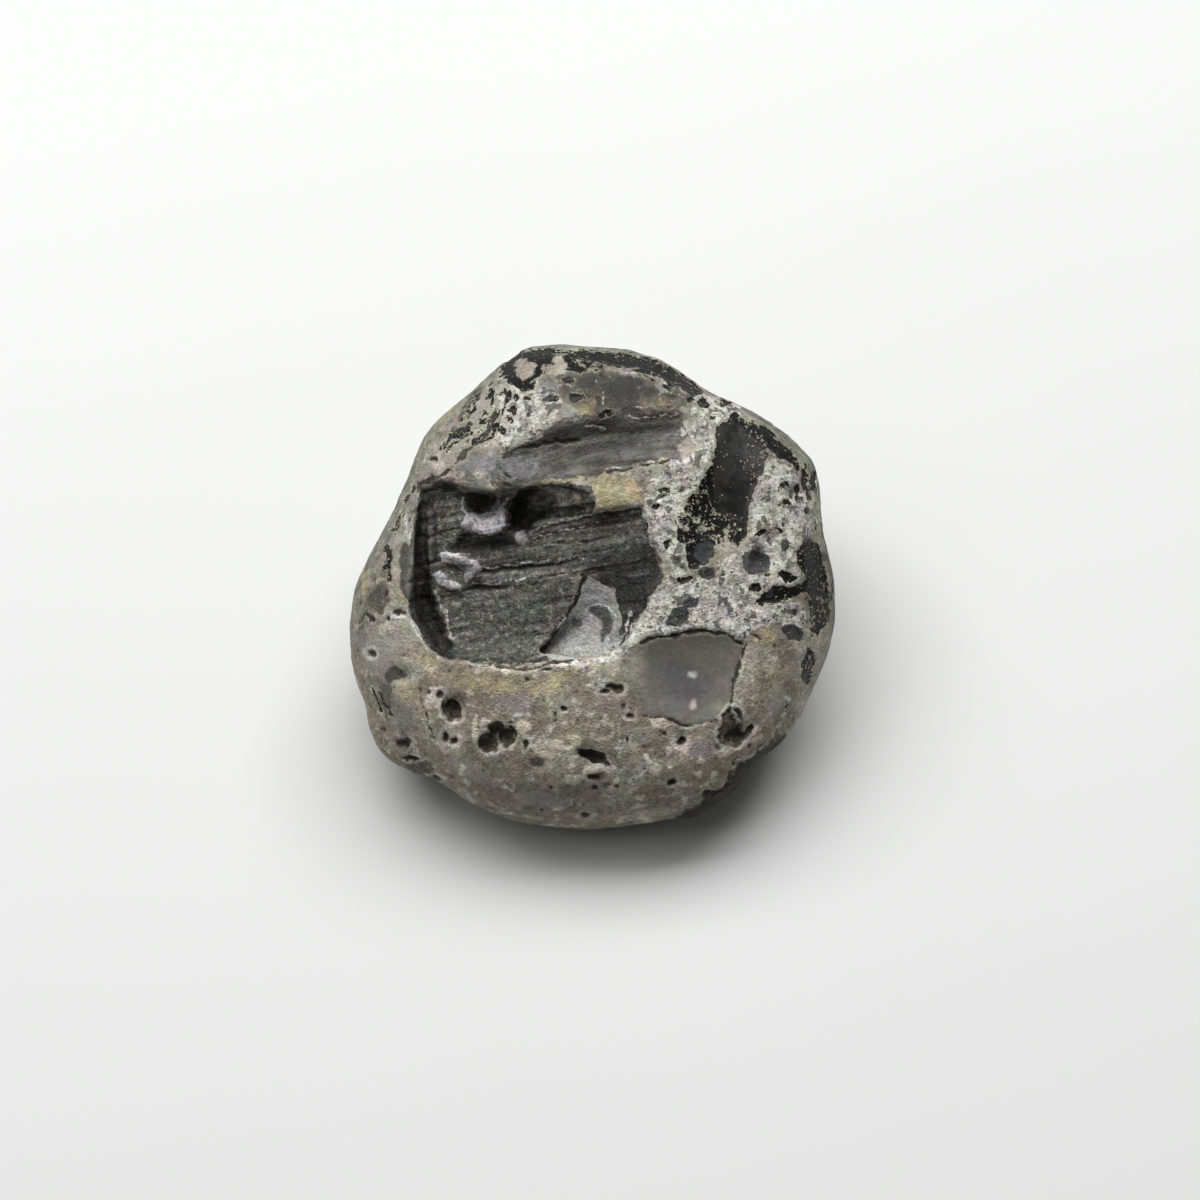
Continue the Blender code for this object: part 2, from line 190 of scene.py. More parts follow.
places, normals = corners_of(skin.data)
flat_x, flat_y = on_sheet(places)
off_rim = np.abs(normals @ np.array(TOWARDS_CAMERA)) > RIM_FACES_SIDEWAYS
pushes = np.zeros_like(places)
for x, y, right, down, reach in NUDGES:
    middle = places[np.argmin(np.hypot(flat_x - x, flat_y - y) + OUT_OF_REACH * off_rim)]
    aside = places - middle
    deeper = aside @ np.array(TOWARDS_CAMERA)
    far = ((aside**2).sum(1) - deeper**2 + (deeper / DEPTH_REACH) ** 2) / reach**2
    share = np.exp(-far) * np.clip(places[:, 2] / FLOOR_FADE, 0, 1)
    push = (np.array((right, 0, 0)) - down * np.array(CAMERA_UP)) / UNITS_PER_MM
    pushes += np.outer(share, push)
skin.data.vertices.foreach_set("co", ((places + pushes) * MM).ravel())
skin.data.update()
print("the largest push is", round(float(np.linalg.norm(pushes, axis=1).max()), 2), "mm")

# %% [markdown]
# ## Small helpers for node trees
#
# Shader trees and Geometry Nodes trees are built in the same way: add a node, set its switches, and
# feed each input with a number or with another node's output. One helper does all three, which
# keeps the trees below short enough to read.


# %% Helpers for node trees
def add_node(tree, kind, inputs=(), **switches):
    """Adds a node. Each input, by name or number, gets a value or the socket that feeds it."""
    node = tree.nodes.new(kind)
    for name, value in switches.items():
        setattr(node, name, value)
    for key, value in dict(inputs).items():
        if isinstance(key, int):
            socket = node.inputs[key]
        else:
            socket = next(s for s in node.inputs if s.enabled and s.name == key)
        if isinstance(value, bpy.types.NodeSocket):
            tree.links.new(value, socket)
        else:
            socket.default_value = value
    return node


def put(tree, kind, inputs=(), **switches):
    """Adds a node and gives back the output that is in use."""
    return next(s for s in add_node(tree, kind, inputs, **switches).outputs if s.enabled)


def calc(tree, operation, *values):
    return put(tree, "ShaderNodeMath", enumerate(values), operation=operation)


def total(tree, *values):
    result = values[0]
    for value in values[1:]:
        result = calc(tree, "ADD", result, value)
    return result


def stretched(tree, vector, scale):
    """A vector made longer or shorter, by one number or by three."""
    if isinstance(scale, (int, float)):
        scale = (scale, scale, scale)
    return put(tree, "ShaderNodeVectorMath", {0: vector, 1: scale}, operation="MULTIPLY")


def cloudy(tree, vector, size, detail=2.0, rough=0.5, turbulence=0.0):
    """Noise from 0 to 1, whose lumps are about size millimetres."""
    inputs = {"Vector": vector, "Scale": 1 / size, "Detail": detail, "Roughness": rough,
              "Distortion": turbulence}
    return put(tree, "ShaderNodeTexNoise", inputs)


def ramp(tree, value, low, high, out_low=0.0, out_high=1.0):
    """A smooth step from out_low at low to out_high at high."""
    inputs = {"Value": value, "From Min": low, "From Max": high, "To Min": out_low, "To Max": out_high}
    return put(tree, "ShaderNodeMapRange", inputs, interpolation_type="SMOOTHSTEP")


def swell(tree, value, height):
    """Turns noise from 0 to 1 into a rise and fall of that height."""
    return calc(tree, "MULTIPLY", calc(tree, "SUBTRACT", value, 0.5), height)


def new_tree(kind, name, inputs, outputs):
    """An empty node tree with named inputs and outputs: (name, kind of socket, default)."""
    tree = bpy.data.node_groups.new(name, kind)
    for label, socket, default in inputs:
        item = tree.interface.new_socket(label, in_out="INPUT", socket_type="NodeSocket" + socket)
        if default is not None:
            item.default_value = default
    for label, socket in outputs:
        tree.interface.new_socket(label, in_out="OUTPUT", socket_type="NodeSocket" + socket)
    return tree, tree.nodes.new("NodeGroupInput").outputs, tree.nodes.new("NodeGroupOutput").inputs


print("helpers ready")

# %% [markdown]
# ## Where things are on the stone
#
# Each patch is an outline on the sheet. For every corner of the skin we work out how far inside the
# outline it is, in millimetres, and keep that number on the mesh as an attribute. A distance is far
# better than a mask here: it stays smooth between corners, so the material can cut it with fine
# noise and get an edge that is crisper and more ragged than the net itself.
#
# Nothing on a stone is straight. So the sheet is first crumpled a little by smooth noise, and every
# outline and line drawn on it wanders as a real one does.

# %% Lay the sheet on the stone
places, normals = corners_of(skin.data)
flat_x, flat_y = on_sheet(places)
facing = normals @ np.array(TOWARDS_CAMERA)


def wander(size, seed):
    """Three smooth random numbers for each corner, which change over about size millimetres."""
    shift = Vector((17.3, 5.1, 11.7)) * seed
    return np.array([noise.noise_vector(Vector(place) / size + shift) for place in places])


CRUMPLE_SEED = 3
BROAD_CRUMPLE, FINE_CRUMPLE = 0.30, 0.16
USUAL_WIDTH, WIDTH_CHANGE = 0.80, 1.1  # a line's width, as a share of the one it is given

noise.seed_set(CRUMPLE_SEED)
crumple = wander(1.5, 1) * BROAD_CRUMPLE + wander(0.5, 2) * FINE_CRUMPLE
sheet_x = flat_x + crumple[:, 0] * UNITS_PER_MM
sheet_y = flat_y + crumple[:, 1] * UNITS_PER_MM
line_width = np.clip(USUAL_WIDTH + WIDTH_CHANGE * wander(0.9, 3)[:, 0], 0.1, 1.5)
print("outlines wander by up to", round(float(np.abs(crumple[:, :2]).max()), 2), "mm")

# %% [markdown]
# ## Measuring on the sheet
#
# Patches are outlines, cracks are lines with a width, and pits and dimples are ovals. All of them
# could be painted on an image, but a distance worked out for every corner needs no image and stays
# exact at any size. Where the stone turns away from the sheet every distance sinks below nothing, so
# no patch smears over the edge.

# %% Distances to outlines, lines and spots
FAR_OUT = -3.0  # the distance kept where the camera's side ends
MOST = 3.0  # distances inside an outline stop growing here
FAR_FROM_ALL = 1e9
EDGE_SLOPE, EDGE_START = 6.0, 0.3  # how fast patches end where the stone turns away


def to_segment(ax, ay, bx, by):
    """How far every corner is from a straight piece of line, in sheet units."""
    run_x, run_y = bx - ax, by - ay
    along = ((sheet_x - ax) * run_x + (sheet_y - ay) * run_y) / (run_x**2 + run_y**2 + 1e-9)
    along = np.clip(along, 0, 1)
    return np.hypot(sheet_x - ax - along * run_x, sheet_y - ay - along * run_y)


def on_camera_side(distance):
    """Takes a distance to nothing over the stone's edge, where the sheet no longer says what is there."""
    return np.maximum(np.minimum(distance, facing * EDGE_SLOPE + EDGE_START), FAR_OUT)


def inside(outline, most=MOST):
    """How far inside an outline every corner is, in mm, and below nothing outside it."""
    nearest = np.full(len(sheet_x), FAR_FROM_ALL)
    within = np.zeros(len(sheet_x), dtype=bool)
    for (ax, ay), (bx, by) in zip(outline, outline[1:] + outline[:1]):
        nearest = np.minimum(nearest, to_segment(ax, ay, bx, by))
        crosses = (ay > sheet_y) != (by > sheet_y)
        if ay != by:
            within ^= crosses & (sheet_x < (bx - ax) * (sheet_y - ay) / (by - ay) + ax)
    return on_camera_side(np.minimum(np.where(within, nearest, -nearest) / UNITS_PER_MM, most))


def near_line(line, half_width):
    """How far inside a line's half width every corner is, in mm. The width comes and goes."""
    nearest = np.full(len(sheet_x), FAR_FROM_ALL)
    for (ax, ay), (bx, by) in zip(line, line[1:]):
        nearest = np.minimum(nearest, to_segment(ax, ay, bx, by))
    return on_camera_side(half_width * line_width - nearest / UNITS_PER_MM)


def on_oval(right, down, half_x, half_y, turn):
    """Distances from an oval's middle along its own turned axes, as shares of its half widths."""
    cosine, sine = math.cos(math.radians(turn)), math.sin(math.radians(turn))
    return (right * cosine + down * sine) / half_x, (down * cosine - right * sine) / half_y


def in_spot(x, y, half_x, half_y, turn=0.0):
    """How far inside an oval spot every corner is, in mm. Its size is in sheet units."""
    u, v = on_oval(sheet_x - x, sheet_y - y, half_x, half_y, turn)
    return on_camera_side((1 - np.hypot(u, v)) * math.sqrt(half_x * half_y) / UNITS_PER_MM)


def soft_spot(x, y, half_x, half_y, turn=0.0):
    """1 in the middle of an oval spot, fading to 0 well outside it, and just over the stone's edge."""
    u, v = on_oval(flat_x - x, flat_y - y, half_x, half_y, turn)
    return np.exp(-(u**2 + v**2)) * np.clip(facing * 4 + 1, 0, 1)


def widest(*fields):
    """Every corner's distance inside whichever of the patches it is deepest in."""
    return np.maximum.reduce(fields)


def in_spots(spots):
    return widest(*[in_spot(*spot) for spot in spots])


def near_lines(lines):
    return widest(*[near_line(line, half_width) for line, half_width in lines])


def in_all(outlines, most):
    return widest(*[inside(outline, most) for outline in outlines])


def keep(name, values):
    """Stores one number for each corner on the skin."""
    layer = skin.data.attributes.new(name, "FLOAT", "POINT")
    layer.data.foreach_set("value", values.astype(np.float32))


keep("far_side", np.clip(0.5 - facing * 2.5, 0, 1))
print("broad face covers", round(float((facing > 0).mean()) * 100), "% of the corners")

# %% [markdown]
# ## Broken glass
#
# Black glass shows wherever the rind has flaked away: a band down the right of the face, the rims at
# the top and the right, and small round windows. In some of it the rind is only half gone, so it is
# a mesh of black and cream. There the distance is capped near nothing, and the noise does the rest.

# %% The black band
BAND = [(717, 428), (728, 420), (737, 415), (747, 421), (753, 422), (763, 433), (768, 457), (763, 473),
        (755, 488), (753, 500), (748, 520), (743, 537), (738, 549), (730, 539), (723, 541), (713, 547),
        (715, 557), (707, 565), (697, 569), (687, 568), (684, 550), (681, 537), (680, 523), (684, 508),
        (692, 495), (704, 478), (711, 463), (715, 443)]
HALF_BARE_BAND = [(672, 520), (688, 494), (702, 482), (714, 496), (722, 508), (736, 512), (744, 520),
                  (738, 552), (714, 545), (700, 543), (684, 556), (672, 540)]
BARE_RIGHT_OF_BAND = [(738, 424), (752, 424), (768, 438), (772, 458), (766, 480), (750, 486), (742, 470),
                      (742, 446)]
BAND_SPOTS = [(681, 521, 6, 6), (684, 536, 7, 8), (684, 580, 8, 4), (668, 545, 3, 5), (663, 489, 5, 3),
              (655, 505, 4, 4)]
print("the band has", len(BAND_SPOTS), "spots beside it")

# %% Bare rims
TOP_RIGHT_RIM = [(753, 421), (765, 425), (774, 433), (790, 450), (799, 463), (798, 470), (788, 463),
                 (777, 457), (768, 448), (760, 436)]
RIGHT_EDGE = [(797, 556), (801, 545), (807, 538), (818, 544), (822, 562), (828, 580), (832, 597),
              (829, 612), (825, 626), (818, 638), (810, 632), (813, 612), (808, 598), (815, 585),
              (805, 574)]
RIGHT_STREAK = [(754, 602), (762, 594), (780, 587), (800, 583), (822, 576), (826, 586), (806, 594),
                (790, 599), (772, 602), (760, 606)]
RIGHT_CRUMBS = [(800, 578), (826, 580), (832, 600), (826, 622), (814, 640), (816, 660), (808, 676),
                (804, 660), (808, 645), (800, 630)]
LOW_RIGHT = [(806, 644), (813, 652), (813, 672), (807, 686), (801, 676), (804, 660)]
TOP_RIM = [(502, 363), (512, 352), (522, 349), (545, 347), (563, 350), (572, 353), (587, 350), (600, 352),
           (625, 353), (645, 357), (668, 366), (690, 380), (704, 392), (696, 397), (678, 388), (660, 379),
           (648, 376), (630, 369), (612, 366), (596, 370), (580, 372), (565, 369), (545, 372), (538, 380),
           (533, 388), (522, 391), (512, 384), (502, 375)]
TOP_CRUMBS = [(572, 357), (600, 360), (640, 366), (676, 382), (700, 396), (690, 402), (660, 384),
              (640, 378), (610, 374), (580, 374)]
print("rims at the top and the right placed")

# %% Dimples and slivers
DIMPLES = [(760, 533, 5, 4), (777, 531, 4, 2), (784, 484, 3, 5, 10), (797, 490, 4, 5), (799, 499, 4, 3),
           (787, 500, 4, 3), (793, 504, 3, 2), (702, 403, 6, 4), (725, 403, 6, 3, 10), (712, 417, 4, 3),
           (735, 417, 4, 3), (807, 512, 4, 3), (812, 480, 4, 10, 10), (752, 588, 6, 5),
           (787, 576, 9, 5, -10), (768, 575, 4, 3), (508, 399, 4, 6, 10), (490, 393, 3, 6, 20),
           (550, 400, 9, 4, -10), (513, 411, 3, 4), (516, 384, 6, 4, 20), (503, 392, 3, 4, 30),
           (511, 420, 3, 3), (502, 430, 4, 4), (577, 396, 6, 4, 20), (571, 379, 5, 3),
           (652, 374, 6, 4, 30), (668, 388, 5, 3, 30), (690, 401, 4, 3), (545, 359, 5, 3, -20),
           (606, 414, 6, 3, 10), (528, 399, 4, 3), (518, 398, 3, 4)]
SMOKY_SPOTS = [(757, 562, 14, 12), (784, 546, 4, 9), (705, 552, 10, 12), (707, 573, 9, 7),
               (678, 617, 13, 8, -42), (692, 603, 8, 5, -30), (792, 633, 11, 8, 30), (675, 635, 6, 3),
               (769, 594, 4, 4)]
LEFT_SLIVERS = [(443, 450), (442, 443), (450, 433), (462, 427), (473, 420), (468, 428), (462, 434),
                (452, 439)]
THIN_STREAKS = [([(489, 414), (478, 430), (466, 440)], 0.10),
                ([(470, 432), (458, 440), (448, 452)], 0.12),
                ([(506, 400), (503, 414), (499, 426)], 0.10),
                ([(430, 455), (440, 452), (446, 446)], 0.10),
                ([(404, 500), (409, 494), (414, 486)], 0.14),
                ([(395, 532), (399, 520), (404, 508)], 0.10),
                ([(485, 410), (476, 422), (466, 430)], 0.16),
                ([(495, 412), (486, 430), (473, 442)], 0.20),
                ([(499, 420), (490, 436), (478, 446)], 0.12),
                ([(478, 396), (472, 410), (467, 419)], 0.16),
                ([(497, 402), (492, 416), (484, 430), (476, 441)], 0.09),
                ([(494, 398), (488, 410), (480, 424)], 0.08),
                ([(472, 402), (466, 414), (462, 420)], 0.10),
                ([(480, 396), (474, 408), (470, 418)], 0.07),
                ([(804, 466), (805, 480), (808, 494)], 0.22),
                ([(812, 474), (816, 486), (818, 498)], 0.08),
                ([(387, 546), (388, 562), (388, 581)], 0.20),
                ([(380, 690), (384, 704), (392, 716)], 0.14),
                ([(372, 686), (377, 700), (380, 712)], 0.12)]
print(len(DIMPLES), "dimples and", len(THIN_STREAKS), "thin streaks of glass")

# %% Put the glass together
glass = widest(inside(BAND, 1.0), inside(TOP_RIGHT_RIM, 0.30), inside(RIGHT_EDGE, 0.12),
               inside(RIGHT_STREAK, 0.22), inside(LOW_RIGHT, 0.12), inside(TOP_RIM, 0.32),
               inside(LEFT_SLIVERS, 0.12), in_spots(BAND_SPOTS + DIMPLES), near_lines(THIN_STREAKS))

HALF_BARE = [(HALF_BARE_BAND, 0.04), (BARE_RIGHT_OF_BAND, 0.06), (RIGHT_CRUMBS, 0.07), (TOP_CRUMBS, 0.0)]
CRUMB_EDGE, CRUMB_FADE = 0.10, 6  # a little more glass at the edge of a half bare place
for crumbly, cap in HALF_BARE:
    depth_in = inside(crumbly, 0.6)
    most_glass = cap + CRUMB_EDGE * np.exp(-depth_in * CRUMB_FADE)
    glass = np.where(depth_in > 0, np.minimum(glass, most_glass), glass)
keep("glass", glass)
keep("smoky", in_spots(SMOKY_SPOTS))
print("glass over", round(float((glass > 0).mean()) * 100, 1), "% of the skin")

# %% [markdown]
# ## Chalky crust
#
# Beside the glass the rind has gone to a pale, chalky crust, raised a little and speckled black
# where single grains have dropped out. It runs up both sides of the band and over the ridge
# between the basin and the frosted window.

# %% Patches of chalky crust
CHALK_LEFT = [(642, 498), (650, 482), (668, 466), (690, 455), (700, 448), (690, 436), (672, 432),
              (690, 424), (716, 428), (713, 446), (708, 463), (702, 480), (693, 494), (686, 506),
              (682, 520), (682, 545), (688, 560), (686, 575), (672, 588), (660, 592), (670, 572),
              (664, 554), (650, 541), (646, 520)]
CHALK_TOP = [(676, 420), (690, 410), (694, 396), (712, 394), (735, 402), (742, 415), (724, 420),
             (712, 428), (690, 428)]
CHALK_RIGHT = [(764, 456), (778, 460), (792, 468), (800, 480), (808, 500), (822, 522), (814, 532),
               (803, 540), (798, 560), (803, 576), (785, 586), (764, 592), (748, 588), (740, 574),
               (742, 558), (748, 540), (752, 520), (754, 502), (760, 486), (764, 470)]
CHALK_RIDGE = [(652, 598), (664, 588), (690, 580), (715, 578), (726, 560), (736, 550), (742, 566),
               (750, 590), (764, 604), (800, 604), (812, 618), (800, 632), (776, 622), (756, 634),
               (736, 640), (714, 632), (690, 629), (668, 634), (645, 636), (628, 650), (605, 662),
               (584, 666), (600, 656), (622, 642), (638, 618)]
CHALK_RIM = [(530, 666), (556, 662), (590, 660), (612, 654), (608, 662), (590, 669), (560, 669)]
CHALK_TOP_LEFT = [(497, 394), (512, 386), (524, 392), (540, 388), (556, 392), (562, 402), (560, 414),
                  (552, 424), (538, 436), (520, 444), (500, 450), (494, 436), (502, 414)]

chalk = widest(in_all([CHALK_LEFT, CHALK_RIGHT], 0.8), inside(CHALK_TOP, 0.35), inside(CHALK_RIDGE, 0.7),
               inside(CHALK_RIM, 0.3), inside(CHALK_TOP_LEFT, 0.18))
keep("chalk", chalk)
print("chalk over", round(float((chalk > 0).mean()) * 100, 1), "% of the skin")

# %% Pale blots
PALE_BLOTS = [
    [(530, 747), (540, 737), (555, 737), (560, 740), (570, 735), (580, 736), (582, 745), (575, 750),
     (560, 752), (560, 760), (552, 762), (542, 757), (534, 752)],
    [(560, 780), (567, 772), (580, 774), (584, 767), (592, 765), (595, 770), (585, 780), (577, 785),
     (567, 786)],
    [(541, 368), (552, 364), (556, 354), (564, 352), (566, 362), (564, 371), (552, 374)],
    [(516, 362), (526, 358), (533, 366), (532, 376), (524, 380), (516, 374)],
    [(376, 627), (388, 624), (392, 630), (386, 636), (378, 636)],
]
PALE_SPOTS = [(659, 724, 8, 5), (634, 747, 5, 4), (549, 700, 3, 7), (655, 771, 5, 6), (621, 757, 3, 3),
              (478, 474, 4, 4), (477, 672, 4, 4), (494, 669, 3, 3), (503, 670, 4, 4), (536, 676, 4, 3),
              (590, 675, 4, 4), (645, 819, 8, 3), (620, 821, 4, 2), (523, 727, 7, 7), (486, 722, 5, 4),
              (722, 752, 9, 4, 10), (476, 731, 4, 14), (440, 706, 4, 3), (686, 757, 4, 8, 20),
              (604, 719, 3, 3), (700, 760, 4, 4), (381, 582, 6, 3), (668, 751, 3, 4),
              (725, 790, 6, 3, -40), (462, 770, 3, 3), (700, 775, 4, 3), (580, 712, 3, 3),
              (566, 726, 4, 3), (470, 694, 4, 3), (613, 770, 3, 3), (640, 798, 5, 3), (430, 700, 4, 6)]

keep("pale", widest(in_all(PALE_BLOTS, 0.4), in_spots(PALE_SPOTS)))
print(len(PALE_BLOTS) + len(PALE_SPOTS), "pale blots placed")

# %% [markdown]
# ## The frosted window, the flute and the basin
#
# Three old breaks took away whole flakes. The window is a shallow scar ground to a silky frost. The
# flute above the basin is rippled, because a crack in glass travels in waves. The basin's floor
# follows the lava's flow bands, which rise gently to the right, and a shell-shaped scar lies in it.

# %% Patches of the old breaks
WINDOW = [(620, 662), (628, 651), (640, 641), (660, 635), (677, 634), (695, 631), (715, 633), (730, 637),
          (745, 642), (740, 660), (733, 680), (729, 702), (722, 713), (712, 720), (700, 724), (685, 723),
          (665, 720), (645, 714), (632, 700), (622, 680)]
FLUTE = [(492, 466), (505, 455), (522, 446), (542, 430), (560, 422), (590, 414), (620, 411), (660, 409),
         (690, 414), (706, 424), (690, 436), (676, 446), (682, 456), (650, 466), (620, 472), (590, 480),
         (560, 486), (530, 489), (505, 492), (492, 484)]
BASIN = [(655, 560), (650, 530), (641, 505), (604, 516), (592, 514), (597, 498), (590, 486), (560, 486),
         (525, 489), (500, 497), (465, 492), (440, 480), (419, 484), (413, 520), (412, 560), (404, 598),
         (412, 622), (426, 645), (446, 660), (480, 662), (515, 664), (550, 660), (585, 657), (612, 650),
         (632, 632), (648, 605), (664, 575)]
SCAR = [(583, 574), (592, 577), (605, 582), (616, 590), (620, 604), (624, 618), (620, 632), (611, 648),
        (600, 656), (570, 660), (537, 658), (544, 646), (555, 630), (568, 610), (578, 594)]
TAN = [(588, 480), (604, 474), (618, 479), (634, 480), (642, 488), (638, 498), (620, 508), (604, 516),
       (594, 514), (598, 500), (592, 488)]
TAN_LINES = [([(520, 488), (545, 484), (570, 481), (590, 479)], 0.16),
             ([(594, 516), (618, 509), (642, 500)], 0.08), ([(606, 474), (640, 466), (668, 458)], 0.10),
             ([(400, 590), (402, 598), (406, 603)], 0.18)]

FROST_STARTS, FROST_FADE = 616, 34
# painted light and shade on the window: it is painted lighter towards the lower right
PAINTED_LIGHT_PLACE, PAINTED_LIGHT_SPREAD = (690, 668), (160, 60)

keep("frost", inside(WINDOW))
keep("frost_fade", np.clip((flat_x - FROST_STARTS) / FROST_FADE, 0, 1))
light_right = (flat_x - PAINTED_LIGHT_PLACE[0]) / PAINTED_LIGHT_SPREAD[0]
light_down = (flat_y - PAINTED_LIGHT_PLACE[1]) / PAINTED_LIGHT_SPREAD[1]
keep("window_painted_light", np.clip(light_down + light_right, -1, 1))
keep("smoke", soft_spot(688, 690, 30, 24) + 0.5 * soft_spot(664, 670, 26, 14))
keep("corner_glow", soft_spot(719, 708, 6, 7, -45) + 0.5 * soft_spot(632, 668, 14, 16))
# two painted glints on the window, highlights of the lamps
keep("painted_glint", widest(in_spot(693, 673, 2.6, 2.6), in_spot(694, 704, 2.6, 2.6)))
keep("flute", inside(FLUTE))
keep("basin", inside(BASIN))
keep("plain_floor", soft_spot(505, 622, 70, 32, -6))
keep("scar", inside(SCAR))
keep("tan", widest(inside(TAN, 0.8), in_spot(575, 499, 5, 4), near_lines(TAN_LINES)))
print("window, flute and basin placed")

# %% Lips in the basin
CUP_LIP = [(462, 498), (463, 508), (468, 515), (462, 522), (465, 530), (478, 532), (488, 534), (498, 532),
           (506, 527), (508, 520), (506, 512), (504, 507), (502, 498), (496, 495), (495, 503), (491, 512),
           (484, 515), (475, 514), (467, 510), (465, 500)]
UPPER_LIP = [(440, 552), (445, 549), (452, 553), (462, 557), (470, 560), (477, 565), (482, 569),
             (480, 573), (475, 573), (473, 580), (467, 583), (463, 578), (464, 571), (457, 565),
             (448, 563), (441, 562)]
LOWER_LIP = [(430, 575), (438, 574), (447, 577), (455, 583), (462, 588), (457, 592), (445, 590),
             (435, 583)]
keep("lip", widest(in_all([CUP_LIP, UPPER_LIP, LOWER_LIP], MOST), in_spot(522, 538, 5, 6)))
print("three lips placed")

# %% [markdown]
# ## Pale lines
#
# Fresh edges of glass bruise and bleach, which leaves hairlines of a tenth of a millimetre along the
# old breaks. The lit top edges of the lips, the cup's rim and the lip along the ledge are painted the
# same way, as highlights. They are lines with a width, as the cracks are, but they are only coloured.

# %% Pale lines
PALE_LINES = [
    ([(600, 371), (596, 382), (603, 394), (599, 407)], 0.04),
    ([(574, 384), (584, 392), (592, 402)], 0.05),
    ([(622, 375), (640, 371), (656, 376), (672, 384)], 0.04),
    ([(655, 396), (668, 391), (682, 397), (696, 404)], 0.05),
    ([(530, 384), (540, 379), (548, 378)], 0.08),
    ([(560, 388), (566, 382), (574, 384)], 0.12),
    ([(562, 400), (561, 410)], 0.05),
    ([(432, 588), (438, 596), (442, 607), (445, 620), (447, 634), (453, 638)], 0.15),
    # the cup's lit rim, a painted highlight
    ([(462, 522), (465, 530), (478, 533), (488, 534), (498, 532), (506, 527), (508, 519),
      (506, 512)], 0.11),
    ([(506, 512), (504, 506), (510, 498), (518, 492)], 0.07),
    ([(463, 499), (464, 508)], 0.07),
    # the lips' lit top edges, painted highlights
    ([(440, 552), (446, 550), (456, 554), (468, 559), (478, 566)], 0.12),
    ([(430, 576), (438, 574), (448, 577), (458, 585)], 0.10),
    ([(591, 607), (600, 605), (610, 609), (617, 617)], 0.10),
    ([(646, 757), (649, 766), (640, 775), (630, 782)], 0.24),
    ([(404, 516), (407, 525), (411, 535)], 0.11),
    ([(391, 616), (408, 618), (416, 630), (423, 641), (427, 653), (440, 661)], 0.12),
    ([(628, 650), (612, 660), (590, 663)], 0.13),
    ([(634, 612), (626, 632), (610, 648)], 0.10),
    ([(634, 407), (655, 404), (675, 404)], 0.06),
    ([(628, 416), (652, 415), (676, 416)], 0.05),
    ([(421, 718), (425, 728), (430, 745)], 0.06),
    ([(657, 629), (664, 626), (690, 628)], 0.20),
    # the lit lip along the ledge, a painted highlight
    ([(765, 745), (750, 754), (737, 762), (732, 770), (726, 782), (719, 789), (706, 789)], 0.04),
    ([(482, 568), (528, 565), (562, 560), (587, 556)], 0.07),
    ([(462, 587), (503, 582), (545, 576), (580, 570)], 0.06),
    ([(533, 527), (562, 520), (592, 516), (645, 503)], 0.07),
    ([(528, 537), (560, 532), (600, 523)], 0.05),
    ([(608, 471), (630, 467), (662, 461)], 0.05),
    ([(586, 427), (598, 426), (607, 428)], 0.09),
    ([(582, 574), (577, 594), (567, 610), (554, 630), (536, 654)], 0.05),
]
keep("pale_line", near_lines(PALE_LINES))
print(len(PALE_LINES), "pale lines placed")

# %% [markdown]
# ## Dark and dull places
#
# Light hardly reaches the gutter along the basin's left wall, the cup, the recess and the ledge's
# underside, so their shade is painted in near black. The basin's right end is dark too. Some worn
# places are neither rind nor glass but a smooth dull grey.

# %% Deep places
GUTTER = [(417, 480), (440, 478), (455, 480), (458, 488), (450, 492), (438, 488), (428, 492), (424, 505),
          (423, 545), (424, 565), (429, 575), (430, 590), (436, 610), (441, 625), (446, 640), (458, 652),
          (456, 660), (445, 659), (432, 647), (423, 633), (416, 618), (410, 605), (411, 595), (416, 580),
          (415, 560), (415, 530), (418, 500)]
CUP_HOLE = [(465, 496), (475, 493), (490, 494), (494, 502), (490, 510), (482, 513), (472, 511),
            (466, 506)]
RECESS_HOLE = [(512, 500), (520, 492), (530, 491), (524, 500), (530, 508), (542, 512), (542, 518),
               (534, 528), (526, 532), (514, 530), (509, 518)]
LEDGE_SHADE = [(785, 733), (768, 744), (753, 756), (740, 763), (734, 774), (723, 787), (707, 790),
               (700, 801), (684, 811), (673, 818), (690, 828), (714, 820), (742, 806), (764, 790),
               (784, 770), (796, 748)]
SCAR_CRESCENT = [(590, 609), (598, 606), (608, 611), (615, 620), (612, 634), (604, 644), (600, 636),
                 (602, 624)]
DEEP_LINES = [([(435, 496), (434, 520), (436, 556)], 0.16),
              ([(645, 546), (645, 575), (648, 598), (638, 622)], 0.16)]

# painted shade: the gutter, cup, recess, ledge underside and scar crescent are painted near black
deep_shade = widest(in_all([GUTTER, CUP_HOLE, RECESS_HOLE], MOST), inside(LEDGE_SHADE, 0.3),
              inside(SCAR_CRESCENT, 0.25), in_spot(577, 622, 6, 6), near_lines(DEEP_LINES))
keep("deep_shade", deep_shade)
print("deep places over", round(float((deep_shade > 0).mean()) * 100, 1), "% of the skin")

# %% Dim and dull places
BASIN_END = [(590, 566), (604, 556), (622, 550), (642, 542), (655, 550), (662, 562), (652, 590),
             (636, 622), (622, 640), (622, 618), (616, 594), (604, 584)]
STRIP = [(424, 496), (434, 492), (436, 520), (436, 560), (428, 572), (424, 545)]
DULL_PLACES = [(589, 382, 10, 7), (621, 391, 20, 13), (630, 406, 10, 6), (396, 675, 11, 9),
               (540, 762, 9, 4, 20), (612, 400, 12, 8), (640, 384, 6, 6), (600, 402, 6, 5),
               (648, 392, 6, 6), (404, 742, 9, 6, 10)]
DULL_LEFT_WALL = [(398, 550), (406, 544), (414, 541), (416, 560), (415, 588), (407, 599), (401, 588)]

keep("dim", widest(inside(BASIN_END), inside(STRIP, 0.4), in_spot(470, 545, 22, 8), in_spot(505, 545, 16, 8)))
keep("dull", widest(in_spots(DULL_PLACES), inside(DULL_LEFT_WALL, 0.3)))
print(len(DULL_PLACES), "dull places")
